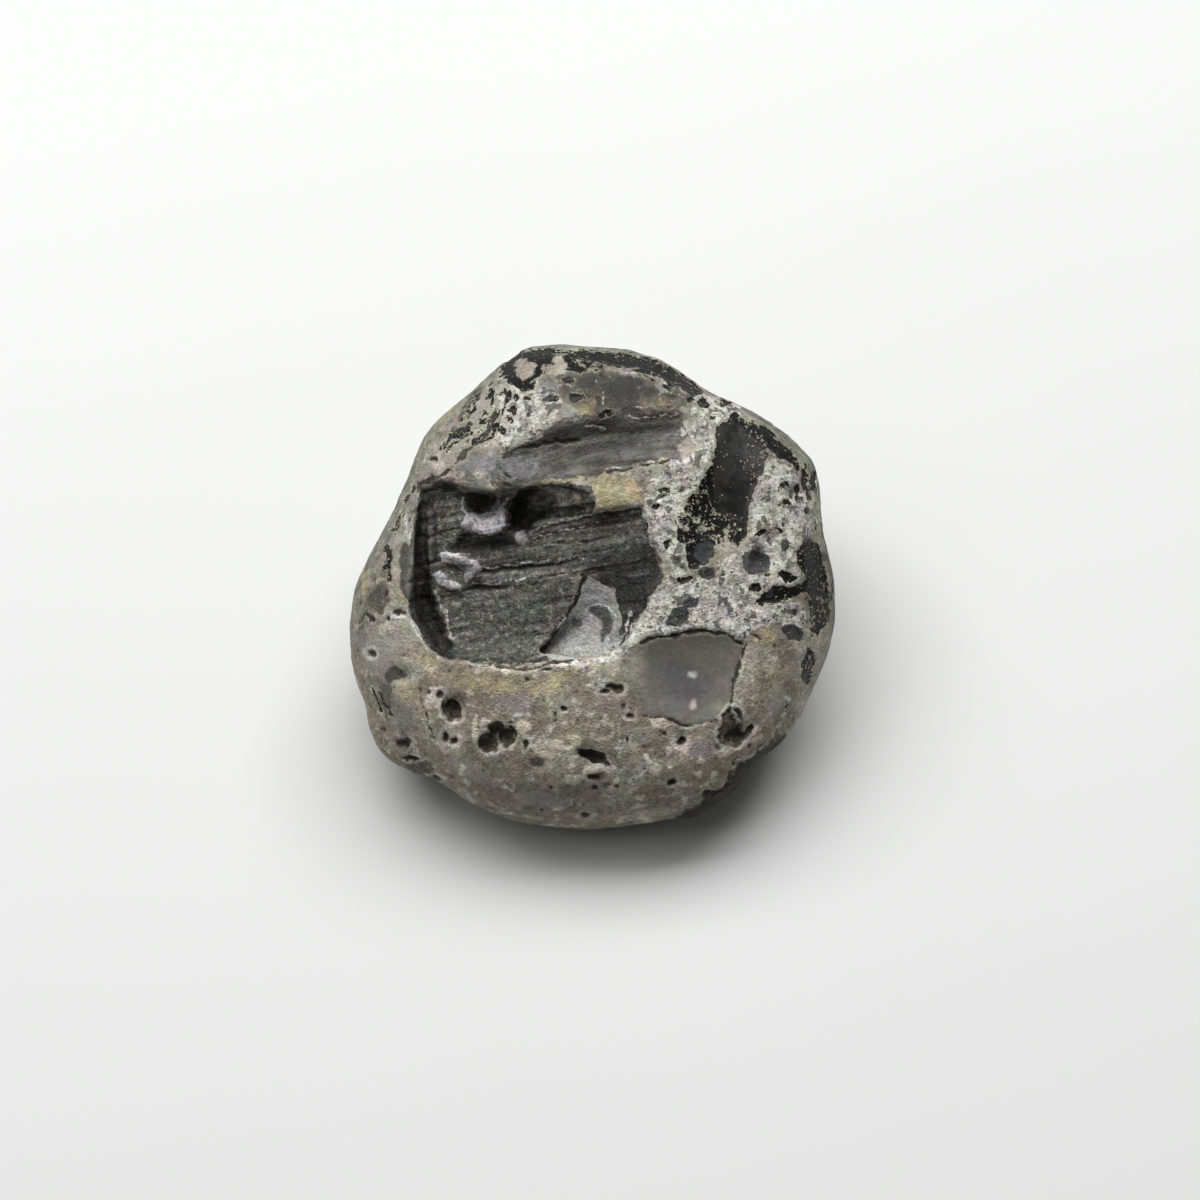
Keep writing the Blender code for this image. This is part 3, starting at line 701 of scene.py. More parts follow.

# %% [markdown]
# ## Tinted places
#
# The rind isn't one grey. Where it is thin the glass below makes it cool, some lumps are lilac, and
# dirt has turned others the brown of umber. Small flat facets, where a chip has come off, are paler,
# and one more pale spot paints light into the recess in the basin, which the lamps leave too dark.
# The upper rim has weathered darker all along, so there the turn of the skin itself marks the place.

# %% Tinted places
FACETS = [
    [(537, 402), (545, 405), (552, 402), (558, 405), (558, 418), (552, 424), (540, 424), (535, 412)],
    [(470, 405), (490, 393), (497, 385), (500, 392), (490, 408), (478, 422), (470, 424)],
    [(561, 402), (572, 402), (574, 414), (562, 418)],
    [(446, 444), (458, 437), (470, 436), (466, 444), (454, 450), (446, 452)],
    [(500, 382), (512, 384), (514, 392), (506, 398), (500, 392)],
    [(655, 383), (664, 380), (671, 386), (668, 394), (659, 395)],
]
COOL_SPOTS = [(482, 470, 24, 15), (515, 468, 24, 11, -8), (771, 541, 14, 11, 10), (714, 607, 18, 10),
              (596, 600, 14, 10, 40), (575, 622, 16, 9, -30), (735, 442, 5, 8), (550, 387, 12, 8),
              (660, 530, 7, 14)]
TOP_UMBER = [(560, 373), (600, 371), (650, 378), (690, 395), (700, 402), (676, 410), (640, 413),
             (600, 413), (575, 410), (560, 396)]
UMBER_SPOTS = [(520, 405, 10, 6, 30), (388, 700, 8, 20, -10), (378, 600, 12, 14, 10),
               (470, 405, 6, 18, 35), (456, 436, 12, 8, -30), (362, 640, 5, 18), (420, 770, 14, 8, 30),
               (610, 545, 26, 14, -8), (565, 545, 20, 7, -8)]
LILAC_SPOTS = [(374, 650, 17, 26, -15), (545, 412, 12, 9), (402, 708, 12, 22, -5), (568, 404, 6, 9),
               (520, 468, 22, 8, -10), (486, 462, 14, 9), (700, 600, 10, 10), (512, 700, 20, 12, 10),
               (470, 770, 22, 10, 25), (700, 750, 14, 10), (640, 735, 16, 8), (540, 800, 30, 8, 5),
               (656, 424, 9, 7), (775, 700, 10, 14, 20), (398, 640, 9, 12)]
# the spot at 553, 497 is painted light in the basin's recess
keep("facet_and_recess_light", widest(in_all(FACETS, 0.5), in_spot(553, 497, 26, 9, -3)))
keep("cool", in_spots(COOL_SPOTS))
keep("lilac", in_spots(LILAC_SPOTS))
keep("umber", widest(inside(TOP_UMBER, 0.8), in_spots(UMBER_SPOTS)))
keep("worn", in_spot(724, 458, 12, 40, 8))

RIM_STARTS, RIM_FADE = 0.62, 0.35  # the darker rim starts where the skin has turned this far away
RIM_ENDS, RIM_END_FADE = -0.5, 0.4
RIM_LOWEST, RIM_LOW_FADE = 650, 80
rim = np.clip((RIM_STARTS - facing) / RIM_FADE, 0, 1) * np.clip((facing - RIM_ENDS) / RIM_END_FADE, 0, 1)
rim *= np.clip((RIM_LOWEST - flat_y) / RIM_LOW_FADE, 0, 1)
keep("rim", rim)
print("darker rim over", round(float((rim > 0).mean()) * 100, 1), "% of the skin")

# %% [markdown]
# ## Lighter and darker areas
#
# Over centimetres the stone is not one tone either. Some spots are its own tone, and many are painted
# light and shade: sides that face the light lighter, sides and recesses turned from it darker, and a
# few recesses lighter where the lamps leave them too dark. The lower rind, turned from the lamps, is
# painted paler, and the ledge's underside darker. These are broad soft spots, each with the share by
# which it lightens or darkens what lies there.

# %% Broad tones
LIGHT_SHADE_AND_TONE_SPOTS = [
    (455, 755, 22, 30, 0, 0.20), (500, 716, 20, 10, 0, 0.16), (372, 650, 14, 22, 0, 0.16),
    (430, 700, 12, 20, 0, 0.12), (560, 745, 30, 14, 0, 0.16), (770, 690, 22, 36, 0, 0.20),
    (560, 821, 46, 5, 3, 0.14), (690, 766, 14, 12, 0, 0.10), (350, 620, 8, 40, 0, 0.10),
    (410, 640, 14, 16, 40, 0.10), (530, 676, 60, 8, 0, 0.08), (404, 724, 12, 26, 0, -0.20),
    (604, 702, 24, 12, 0, -0.14), (530, 792, 50, 14, 0, -0.16), (640, 742, 24, 14, 0, -0.08),
    (748, 736, 12, 7, 0, -0.18), (422, 770, 20, 8, 30, -0.18), (640, 800, 40, 10, -8, -0.06),
    (396, 675, 16, 12, 0, -0.12), (664, 446, 20, 9, -5, 0.22), (520, 466, 22, 10, -8, 0.10),
    (598, 452, 44, 9, -5, -0.16), (572, 434, 32, 5, -6, -0.28), (436, 640, 16, 26, -25, -0.38),
    (420, 560, 6, 70, 0, -0.12), (447, 735, 9, 50, -12, 0.10), (408, 735, 11, 42, -12, -0.10),
    (570, 740, 110, 20, 0, -0.07), (395, 540, 14, 50, 22, -0.22), (455, 425, 16, 24, 40, -0.20),
    (558, 499, 34, 11, -4, 1.00), (753, 452, 9, 30, 0, -0.40), (815, 575, 12, 36, -10, -0.40),
    (478, 522, 22, 12, 0, 0.28), (492, 515, 10, 18, 0, 0.25), (590, 445, 60, 20, -6, -0.10),
    (445, 556, 12, 6, 10, 0.20), (670, 510, 20, 46, 10, 0.10), (718, 515, 26, 16, 0, -0.20),
    (620, 430, 50, 5, -3, -0.18), (560, 470, 30, 5, -6, -0.14), (622, 471, 30, 5, -5, -0.15),
    (640, 366, 60, 7, 12, -0.32), (600, 394, 54, 16, 4, -0.24), (520, 370, 20, 14, -20, -0.25),
    (680, 470, 12, 16, 0, 0.10), (500, 654, 44, 6, 2, -0.28), (495, 610, 34, 12, -8, 0.12),
    (558, 648, 18, 9, -10, 0.20), (606, 612, 12, 12, 0, -0.20), (640, 585, 14, 26, 10, -0.16),
    (610, 545, 30, 12, -8, -0.08), (700, 592, 30, 6, 0, 0.16), (668, 612, 8, 10, -40, 0.14),
    (800, 610, 22, 16, 0, -0.20), (812, 560, 8, 24, 0, -0.20), (730, 450, 14, 30, 8, 0.10),
    (470, 420, 14, 34, 40, -0.12), (380, 565, 12, 34, 12, -0.10), (560, 360, 40, 8, 0, -0.10),
    (625, 388, 70, 24, 6, -0.32), (449, 520, 12, 26, 0, 0.46), (440, 720, 40, 60, 0, 0.10),
    (618, 493, 28, 18, 0, 0.10), (690, 645, 50, 10, 0, 0.14), (640, 440, 50, 14, -4, -0.10),
    (780, 446, 14, 24, -42, -0.50), (834, 560, 9, 24, 0, -0.45), (838, 622, 9, 30, 0, -0.40),
    (818, 498, 8, 16, 0, 0.45), (682, 370, 22, 6, 20, 0.35), (401, 462, 12, 30, 35, 0.48),
    (383, 522, 8, 24, 20, 0.14), (437, 408, 14, 24, 45, 0.22), (363, 685, 10, 20, 0, 0.18),
    (456, 664, 26, 10, 30, -0.14), (575, 398, 26, 12, 0, -0.08),
]

# painted light on the lower rind and painted shade on the ledge's underside
LOW_RIND_PAINTED_LIGHT, LEDGE_PAINTED_SHADE = 0.27, 0.65
LOW_RIND_STARTS, LOW_RIND_FADE = 600, 80

low_rind = np.clip((flat_y - LOW_RIND_STARTS) / LOW_RIND_FADE, 0, 1) * np.clip(facing * 4, 0, 1)
low_rind *= inside(WINDOW) < 0
tones = 1 + sum(amount * soft_spot(*spot) for *spot, amount in LIGHT_SHADE_AND_TONE_SPOTS) + LOW_RIND_PAINTED_LIGHT * low_rind
tones *= 1 - LEDGE_PAINTED_SHADE * np.clip(inside(LEDGE_SHADE) / 0.3 + 0.3, 0, 1)
# the tone holds painted light and shade as well as the stone's own tone
keep("tone", np.clip(tones, 0.3, 2.2))
print(len(LIGHT_SHADE_AND_TONE_SPOTS), "broad tones, from", round(float(tones.min()), 2), "to", round(float(tones.max()), 2))

# %% [markdown]
# ## Cracks and pits
#
# Cracks, step edges and pit mouths are lines and small ovals. They are cut into the net as well as
# coloured, so they also show from the side.

# %% Cracks and pits
CRACKS = [
    ([(748, 643), (741, 660), (734, 678), (731, 702)], 0.17),
    ([(420, 483), (434, 478), (443, 476), (450, 468), (457, 458), (468, 450)], 0.18),
    ([(468, 450), (482, 440), (492, 424), (498, 408)], 0.12),
    ([(640, 641), (660, 634), (677, 634), (695, 631), (716, 633), (742, 641)], 0.14),
    ([(645, 716), (665, 720), (685, 724), (700, 724), (716, 719)], 0.07),
    ([(503, 458), (514, 452), (522, 448), (542, 443), (562, 442), (580, 440)], 0.17),
    ([(608, 474), (630, 469), (662, 462), (680, 457)], 0.12),
    ([(480, 664), (505, 666), (530, 666), (556, 662), (572, 661)], 0.18),
    ([(583, 576), (578, 595), (568, 611), (555, 631), (538, 654)], 0.10),
    ([(534, 530), (562, 523), (592, 518), (640, 506)], 0.12),
    ([(528, 546), (560, 543), (588, 541)], 0.12),
    ([(462, 592), (486, 589), (512, 585)], 0.14),
    ([(482, 572), (528, 569), (560, 564)], 0.10),
    ([(802, 470), (806, 486), (810, 500)], 0.10),
    ([(402, 757), (412, 760)], 0.14),
    ([(732, 772), (724, 790), (706, 793)], 0.16),
    ([(357, 621), (362, 616), (372, 621)], 0.14),
    ([(395, 612), (404, 613)], 0.12),
    ([(740, 640), (748, 632), (760, 640)], 0.08),
    ([(499, 468), (505, 474), (512, 478)], 0.10),
    ([(487, 482), (494, 488), (503, 494)], 0.09),
    ([(497, 475), (503, 482), (512, 487)], 0.07),
    ([(655, 497), (668, 493), (682, 489), (695, 486)], 0.06),
    ([(417, 690), (424, 706), (428, 724), (434, 742)], 0.05),
]
SOCKET = [(730, 704), (735, 722), (742, 730), (752, 727), (752, 735), (742, 740), (737, 747), (727, 747),
          (717, 740), (717, 730), (723, 718)]
PITS = [(452, 709, 9, 13, -10), (439, 695, 4, 4), (507, 736, 8, 12, 10), (489, 743, 11, 12),
        (497, 728, 8, 6), (445, 736, 3, 5), (455, 741, 4, 4), (592, 756, 15, 6, 25), (606, 766, 5, 3, 25),
        (592, 777, 5, 4), (616, 686, 8, 5, 15), (605, 691, 5, 2, -20), (682, 741, 6, 5), (404, 743, 8, 4),
        (411, 758, 7, 3, 10), (432, 780, 6, 4), (672, 781, 4, 3), (525, 744, 3, 5), (630, 716, 4, 2, 10),
        (433, 461, 5, 3, 10), (371, 653, 4, 4), (521, 669, 5, 2), (547, 670, 6, 2), (628, 741, 2, 2),
        (586, 816, 4, 2), (564, 707, 4, 3), (388, 618, 3, 3), (750, 730, 5, 5), (738, 716, 3, 8, -20)]
RINGED_PITS = [(371, 653, 7, 7), (450, 740, 13, 11), (682, 741, 10, 9), (602, 730, 11, 8),
               (439, 695, 8, 7)]

crack = near_lines(CRACKS)
keep("crack", crack)
keep("pit", widest(inside(SOCKET, 0.14), in_spots(PITS)))
keep("ring", widest(*[0.16 - np.abs(in_spot(*spot)) for spot in RINGED_PITS]))
print(len(CRACKS), "cracks and", len(PITS) + 1, "pits placed")

# %% [markdown]
# ## Stains and flow directions
#
# Iron has stained the rind ochre along the basin's lower rim and by the old flakes at the top.
# Last, each corner gets its place across and along the flow bands. Noise that reads these two
# numbers, stretched along the bands, gives streaks that follow them.

# %% Stains and flow
STAINS = [([(424, 655), (440, 668), (470, 682), (500, 684), (530, 687), (556, 680), (580, 670)], 0.7),
          ([(574, 402), (584, 410), (600, 398)], 0.7), ([(624, 408), (650, 404), (672, 405)], 0.30),
          ([(585, 663), (596, 660)], 0.6), ([(404, 690), (416, 710)], 0.5),
          ([(546, 426), (552, 430)], 0.35), ([(756, 640), (768, 632)], 0.5),
          ([(664, 372), (644, 366)], 0.4), ([(366, 575), (362, 590)], 0.5),
          ([(440, 420), (450, 412)], 0.5)]
FLOW_SLOPE = math.radians(9)
RIPPLE_CENTRE, RIPPLE_RADIUS = (690, 900), 460

keep("stain", near_lines(STAINS))
banded_across = (flat_y * math.cos(FLOW_SLOPE) + flat_x * math.sin(FLOW_SLOPE)) / UNITS_PER_MM
banded_along = (flat_x * math.cos(FLOW_SLOPE) - flat_y * math.sin(FLOW_SLOPE)) / UNITS_PER_MM
ripple_x, ripple_y = flat_x - RIPPLE_CENTRE[0], flat_y - RIPPLE_CENTRE[1]
ripple_across = np.hypot(ripple_x, ripple_y) / UNITS_PER_MM
ripple_along = np.arctan2(ripple_x, -ripple_y) * RIPPLE_RADIUS / UNITS_PER_MM
on_flute = inside(FLUTE) > inside(BASIN)
keep("across", np.where(on_flute, ripple_across, banded_across))
keep("along", np.where(on_flute, ripple_along, banded_along))
print("flow bands rise", round(math.degrees(FLOW_SLOPE)), "degrees to the right")

# %% [markdown]
# ## How calm the skin is
#
# The solid's facets have to be smoothed away, but the basin's rim, the window's edge and the cracks
# must stay crisp. So each corner is told how calm its neighbourhood is: 1 far from any edge, and
# close to 0 on one.

# %% Mark the calm parts
EDGE_REACH = 0.9
LEAST_CALM = 0.12
BASIN_EDGE, WINDOW_EDGE = 0.2, 0.1  # half widths of the crisp strips, in mm

basin_depth, window_depth = inside(BASIN), inside(WINDOW)
edges = widest(BASIN_EDGE - np.abs(basin_depth), WINDOW_EDGE - np.abs(window_depth), crack)
calm = np.clip(-edges / EDGE_REACH, LEAST_CALM, 1)
calm = np.where(facing > 0, calm, 1.0)
keep("calm", calm)
print("crisp edges on", round(float((calm < 0.3).mean()) * 100), "% of the skin")

# %% [markdown]
# ## Weathered relief, grown with Geometry Nodes
#
# Weathering follows the surface: it lowers glass, raises crust, opens pits and leaves ripples on old
# breaks. A Geometry Nodes tree suits that, since every step is a field over the whole skin. Its
# inputs are heights in millimetres, so one can turn a single effect up or down.

# %% Start the relief tree
RELIEF_INPUTS = [
    ("Skin", "Geometry", None), ("Smoothing Steps", "Int", 14), ("Lump Height", "Float", 0.24),
    ("Grain Height", "Float", 0.12), ("Glass Depth", "Float", 0.10), ("Crust Height", "Float", 0.07),
    ("Flow Step Height", "Float", 0.11), ("Ripple Height", "Float", 0.07), ("Crack Depth", "Float", 0.14),
    ("Pit Depth", "Float", 0.26), ("Pit Raggedness", "Float", 0.5), ("Lip Height", "Float", 0.09),
    ("Blot Height", "Float", 0.04), ("Pits per Square Metre", "Float", 90000.0),
    ("Scattered Pit Depth", "Float", 0.12), ("Seed", "Int", 7), ("Finish", "Material", None),
]
relief, dial, relief_out = new_tree("GeometryNodeTree", "weathered_relief", RELIEF_INPUTS,
                                    [("Skin", "Geometry")])


def field(name):
    """Reads one of the numbers kept on the skin."""
    return put(relief, "GeometryNodeInputNamedAttribute", {"Name": name}, data_type="FLOAT")


def store(geometry, name, value):
    inputs = {"Geometry": geometry, "Name": name, "Value": value}
    return put(relief, "GeometryNodeStoreNamedAttribute", inputs, data_type="FLOAT", domain="POINT")


def blurred(value, steps, weight=1.0, kind="FLOAT_VECTOR"):
    inputs = {"Value": value, "Iterations": steps, "Weight": weight}
    return put(relief, "GeometryNodeBlurAttribute", inputs, data_type=kind)


position = put(relief, "GeometryNodeInputPosition")
normal = put(relief, "GeometryNodeInputNormal")
in_mm = stretched(relief, position, 1 / MM)
softened = blurred(position, dial["Smoothing Steps"], field("calm"))
smooth_skin = put(relief, "GeometryNodeSetPosition", {"Geometry": dial["Skin"], "Position": softened})
print("relief tree has", len(RELIEF_INPUTS), "inputs")

# %% [markdown]
# ## The far side
#
# The sheet says nothing about the sides and the back. There the same kinds of patches are grown from
# noise: a few flaked places with glass, and crust beside them. They fade in where the skin turns
# away, so the two methods meet without a seam.

# %% Patches on the far side
far_share = field("far_side")
far_noise = cloudy(relief, in_mm, 7.5, 2.0, 0.5, 0.6)
FAR_LEVELS = {"glass": 0.655, "chalk": 0.60}  # the noise above which each patch grows
FAR_SPREAD = 5.0
patches = smooth_skin
for patch_name, level in FAR_LEVELS.items():
    grown = calc(relief, "MULTIPLY", calc(relief, "SUBTRACT", far_noise, level), FAR_SPREAD)
    grown = calc(relief, "ADD", grown, ramp(relief, far_share, 0.35, 0.75, -3.0, 0.0))
    patches = store(patches, patch_name, calc(relief, "MAXIMUM", field(patch_name), grown))
print("far side patches added")

# %% [markdown]
# ## Scattered pits
#
# Small pits lie all over the rind. Points are scattered over the skin with a fixed seed, each gets a
# radius of its own, and every corner looks up its nearest point: inside the radius it sinks in a
# bowl. That is far cheaper than cutting hundreds of bowls out of the mesh.

# %% Scatter pits
SMALLEST_PIT, LARGEST_PIT = 0.22, 0.62
scatter = {"Mesh": patches, "Density": dial["Pits per Square Metre"], "Seed": dial["Seed"]}
pit_points = put(relief, "GeometryNodeDistributePointsOnFaces", scatter, distribute_method="RANDOM")
draw = {"Min": 0.0, "Max": 1.0, "Seed": dial["Seed"]}
chance = put(relief, "FunctionNodeRandomValue", draw, data_type="FLOAT")
pit_radius = ramp(relief, calc(relief, "POWER", chance, 3.0), 0.0, 1.0, SMALLEST_PIT, LARGEST_PIT)

nearest_pit = put(relief, "GeometryNodeSampleNearest", {"Geometry": pit_points}, domain="POINT")
lookup = {"Geometry": pit_points, "Index": nearest_pit}
pit_place = put(relief, "GeometryNodeSampleIndex", {**lookup, "Value": in_mm}, data_type="FLOAT_VECTOR")
own_radius = put(relief, "GeometryNodeSampleIndex", {**lookup, "Value": pit_radius}, data_type="FLOAT")
wobble = swell(relief, cloudy(relief, in_mm, 0.6), 0.35)
pit_distance = put(relief, "ShaderNodeVectorMath", {0: pit_place, 1: in_mm}, operation="DISTANCE")
pit_distance = calc(relief, "ADD", pit_distance, wobble)
bowl_shape = ramp(relief, calc(relief, "DIVIDE", pit_distance, own_radius), 0.35, 1.0, 1.0, 0.0)

bare = field("glass")
for smooth_patch in ("frost", "flute", "basin", "dull", "lilac"):
    bare = calc(relief, "MAXIMUM", bare, field(smooth_patch))
rind_share = ramp(relief, bare, -0.3, 0.05, 1.0, 0.0)
scattered = calc(relief, "MULTIPLY", bowl_shape, rind_share)
with_pits = store(patches, "scattered_pit", scattered)
tearing = swell(relief, cloudy(relief, in_mm, 0.55, 3.0, 0.6), dial["Pit Raggedness"])
with_pits = store(with_pits, "pit", calc(relief, "ADD", field("pit"), tearing))
print("pits from", SMALLEST_PIT, "to", LARGEST_PIT, "mm across the radius")

# %% [markdown]
# ## Adding up the heights
#
# Each effect is a height along the normal, in millimetres. The rind gets lumps of several sizes, the
# crust stands proud and is rough, the glass lies a little lower, and the basin and flute get thin
# steps that follow their flow lines.

# %% Add the heights
def flow_noise(across_size, along_size, detail=2.0):
    """Noise stretched along the flow lines."""
    along = calc(relief, "DIVIDE", field("along"), along_size)
    across = calc(relief, "DIVIDE", field("across"), across_size)
    place = put(relief, "ShaderNodeCombineXYZ", {"X": along, "Y": across})
    return cloudy(relief, place, 1.0, detail)


def height(share, size):
    return calc(relief, "MULTIPLY", share, size)


def depth(share, size):
    return height(share, calc(relief, "MULTIPLY", size, -1.0))


in_glass = ramp(relief, field("glass"), -0.04, 0.16)
in_chalk = ramp(relief, field("chalk"), -0.15, 0.3)
in_window = ramp(relief, field("frost"), -0.1, 0.25)
in_basin = ramp(relief, field("basin"), 0.0, 0.5)
in_basin = height(in_basin, ramp(relief, field("scar"), -0.3, 0.3, 1.0, 0.15))
in_flute = ramp(relief, field("flute"), 0.0, 0.5)
rough_share = calc(relief, "SUBTRACT", 1.0, calc(relief, "MAXIMUM", in_glass, in_window))

lumps = swell(relief, cloudy(relief, in_mm, 2.6, 3.0, 0.55), dial["Lump Height"])
lumps = height(lumps, calc(relief, "SUBTRACT", 1.0, in_window))
grain = swell(relief, cloudy(relief, in_mm, 0.75, 2.0, 0.6), dial["Grain Height"])
grain = height(grain, rough_share)
crust = calc(relief, "ADD", 0.7, swell(relief, cloudy(relief, in_mm, 0.55, 2.0, 0.6), 2.2))
crust = height(height(crust, in_chalk), dial["Crust Height"])
glass_drop = depth(in_glass, dial["Glass Depth"])
steps = swell(relief, ramp(relief, flow_noise(1.0, 7.0), 0.42, 0.52), 1.0)
steps = height(height(steps, in_basin), dial["Flow Step Height"])
ripples = swell(relief, flow_noise(0.75, 9.0, 1.0), 2.0)
ripples = height(height(ripples, in_flute), dial["Ripple Height"])
cracks = depth(ramp(relief, field("crack"), -0.14, 0.1), dial["Crack Depth"])
pits = depth(ramp(relief, field("pit"), -0.10, 0.28), dial["Pit Depth"])
lips = height(ramp(relief, field("lip"), -0.12, 0.16), dial["Lip Height"])
blots = height(ramp(relief, field("pale"), -0.05, 0.12), dial["Blot Height"])
small_pits = depth(scattered, dial["Scattered Pit Depth"])

rise = total(relief, lumps, grain, crust, glass_drop, steps, ripples, cracks, pits, lips, blots, small_pits)
push = put(relief, "ShaderNodeVectorMath", {0: normal, "Scale": calc(relief, "MULTIPLY", rise, MM)},
           operation="SCALE")
shaped = put(relief, "GeometryNodeSetPosition", {"Geometry": with_pits, "Offset": push})
print("eleven effects added up")

# %% [markdown]
# ## Hollows and crests
#
# The finish paints hollows dark, as dirt and shade, and crests a little paler, as a painted highlight.
# How far a corner lies below its surroundings is the gap between its place and the average of its
# neighbours' places, measured along the normal.

# %% Measure the hollows
CAVITY_STEPS = 6
around = blurred(position, CAVITY_STEPS)
gap = put(relief, "ShaderNodeVectorMath", {0: around, 1: position}, operation="SUBTRACT")
hollow = put(relief, "ShaderNodeVectorMath", {0: gap, 1: normal}, operation="DOT_PRODUCT")
measured = store(shaped, "hollow", calc(relief, "DIVIDE", hollow, MM))
smooth_shaded = put(relief, "GeometryNodeSetShadeSmooth", {"Geometry": measured})
real = put(relief, "GeometryNodeRealizeInstances", {"Geometry": smooth_shaded})
finished = put(relief, "GeometryNodeSetMaterial", {"Geometry": real, "Material": dial["Finish"]})
relief.links.new(finished, relief_out["Skin"])
print("relief tree has", len(relief.nodes), "nodes")

# %% [markdown]
# ## Shared effects for the finish
#
# The patches of the material all want the same few things: a ragged edge, a mottled tone, specks,
# and streaks along a flow. Each is a node group with named sockets, built once. The first takes the
# distance kept on the skin and tears it with noise, so a patch has no smooth outline.


# %% Ragged edges
def effect(name, inputs, outputs):
    return new_tree("ShaderNodeTree", name, inputs, outputs)


def around_zero(tree, noise_value, height):
    """Turns noise from 0 to 1 into a rise and fall of that height, which may be a socket."""
    return swell(tree, noise_value, calc(tree, "MULTIPLY", height, 2.0))


ragged_edge, ask, give = effect(
    "ragged_edge",
    [("Distance", "Float", 0.0), ("Place", "Vector", None), ("Raggedness", "Float", 0.3),
     ("Lump Size", "Float", 0.6), ("Softness", "Float", 0.03)],
    [("Mask", "Float"), ("Torn Distance", "Float")],
)
lump_scale = calc(ragged_edge, "DIVIDE", 1.0, ask["Lump Size"])
torn = put(ragged_edge, "ShaderNodeTexNoise", {"Vector": ask["Place"], "Scale": lump_scale, "Detail": 5.0,
                                              "Roughness": 0.68})
torn_distance = calc(ragged_edge, "ADD", ask["Distance"], around_zero(ragged_edge, torn, ask["Raggedness"]))
low = calc(ragged_edge, "MULTIPLY", ask["Softness"], -1.0)
ragged_edge.links.new(ramp(ragged_edge, torn_distance, low, ask["Softness"]), give["Mask"])
ragged_edge.links.new(torn_distance, give["Torn Distance"])
print("ragged edge built")

# %% [markdown]
# ## Mottled tone
#
# Weathered glass is cloudy over millimetres and grainy over tenths. Noise of both sizes, added up
# around 1, gives a tone to multiply a colour by. The same grain comes out as a height for the bump.

# %% Mottled tone
DARKEST_TONE = 0.12
mottle, ask, give = effect(
    "mottled_tone",
    [("Place", "Vector", None), ("Cloud Size", "Float", 2.5), ("Contrast", "Float", 0.3),
     ("Grain", "Float", 0.2)],
    [("Tone", "Float"), ("Grain Height", "Float")],
)
cloud_scale = calc(mottle, "DIVIDE", 1.0, ask["Cloud Size"])
clouds = put(mottle, "ShaderNodeTexNoise", {"Vector": ask["Place"], "Scale": cloud_scale, "Detail": 5.0,
                                           "Roughness": 0.65})
fine = cloudy(mottle, ask["Place"], 0.20, 2.0, 0.6)
gritty = cloudy(mottle, ask["Place"], 0.42, 2.0, 0.7)
grain_mix = calc(mottle, "MULTIPLY", calc(mottle, "ADD", fine, gritty), 0.5)
tone = total(mottle, 1.0, around_zero(mottle, clouds, ask["Contrast"]),
             around_zero(mottle, grain_mix, ask["Grain"]))
tone = calc(mottle, "MAXIMUM", tone, DARKEST_TONE)
mottle.links.new(tone, give["Tone"])
mottle.links.new(total(mottle, calc(mottle, "MULTIPLY", clouds, 0.5), fine), give["Grain Height"])
print("mottled tone built")

# %% [markdown]
# ## Specks
#
# Single dark grains sit in the rind. Voronoi cells hold one each, and a random draw decides in which
# cells it shows and how large it is. The place is bent first, which keeps them from being round dots.

# %% Specks
SPECK_BEND, SPECK_BEND_SCALE = 0.3, 2.5
specks, ask, give = effect(
    "specks",
    [("Place", "Vector", None), ("Spacing", "Float", 0.5), ("Largest", "Float", 0.35),
     ("Share", "Float", 0.5)],
    [("Mask", "Float")],
)
speck_scale = calc(specks, "DIVIDE", 1.0, ask["Spacing"])
bend_inputs = {"Vector": ask["Place"], "Scale": SPECK_BEND_SCALE, "Detail": 3.0}
bend_noise = add_node(specks, "ShaderNodeTexNoise", bend_inputs)
bending = stretched(specks, bend_noise.outputs["Color"], SPECK_BEND)
bent = put(specks, "ShaderNodeVectorMath", {0: ask["Place"], 1: bending}, operation="ADD")
cells = add_node(specks, "ShaderNodeTexVoronoi", {"Vector": bent, "Scale": speck_scale}, feature="F1")
draw = put(specks, "ShaderNodeSeparateColor", {"Color": cells.outputs["Color"]})
size = ramp(specks, draw, calc(specks, "SUBTRACT", 1.0, ask["Share"]), 1.05)
reach = calc(specks, "MULTIPLY", size, ask["Largest"])
speck = ramp(specks, calc(specks, "SUBTRACT", reach, cells.outputs["Distance"]), 0.0, 0.09)
specks.links.new(speck, give["Mask"])
print("specks built")

# %% [markdown]
# ## Streaks along a flow
#
# Flow bands are far longer than they are wide. Noise stretched along one axis would run straight, so
# this group reads the two numbers kept on the skin, and its streaks bend as the bands do.

# %% Streaks along a flow
streaks, ask, give = effect(
    "flow_streaks",
    [("Along", "Float", 0.0), ("Across", "Float", 0.0), ("Spacing", "Float", 0.5), ("Length", "Float", 5.0),
     ("Contrast", "Float", 0.5)],
    [("Tone", "Float"), ("Bright Lines", "Float")],
)
flow_place = put(streaks, "ShaderNodeCombineXYZ", {
    "X": calc(streaks, "DIVIDE", ask["Along"], ask["Length"]),
    "Y": calc(streaks, "DIVIDE", ask["Across"], ask["Spacing"]),
})
flow = cloudy(streaks, flow_place, 1.0, 3.0, 0.6, 0.3)
fine_flow = cloudy(streaks, stretched(streaks, flow_place, (1.4, 2.2, 1.0)), 1.0, 2.0, 0.5, 0.2)
flow_tone = calc(streaks, "ADD", 1.0, around_zero(streaks, flow, ask["Contrast"]))
streaks.links.new(flow_tone, give["Tone"])
streaks.links.new(ramp(streaks, fine_flow, 0.60, 0.70), give["Bright Lines"])
print("flow streaks built")

# %% [markdown]
# ## The finish: weathered obsidian
#
# One material carries the whole stone, because rind, crust and glass grade into each other. It
# starts with the rind and lays each patch over the last, as a painter would, and the main layers
# also set the roughness: chalk is dead matt, the window silky, and the glass satin.


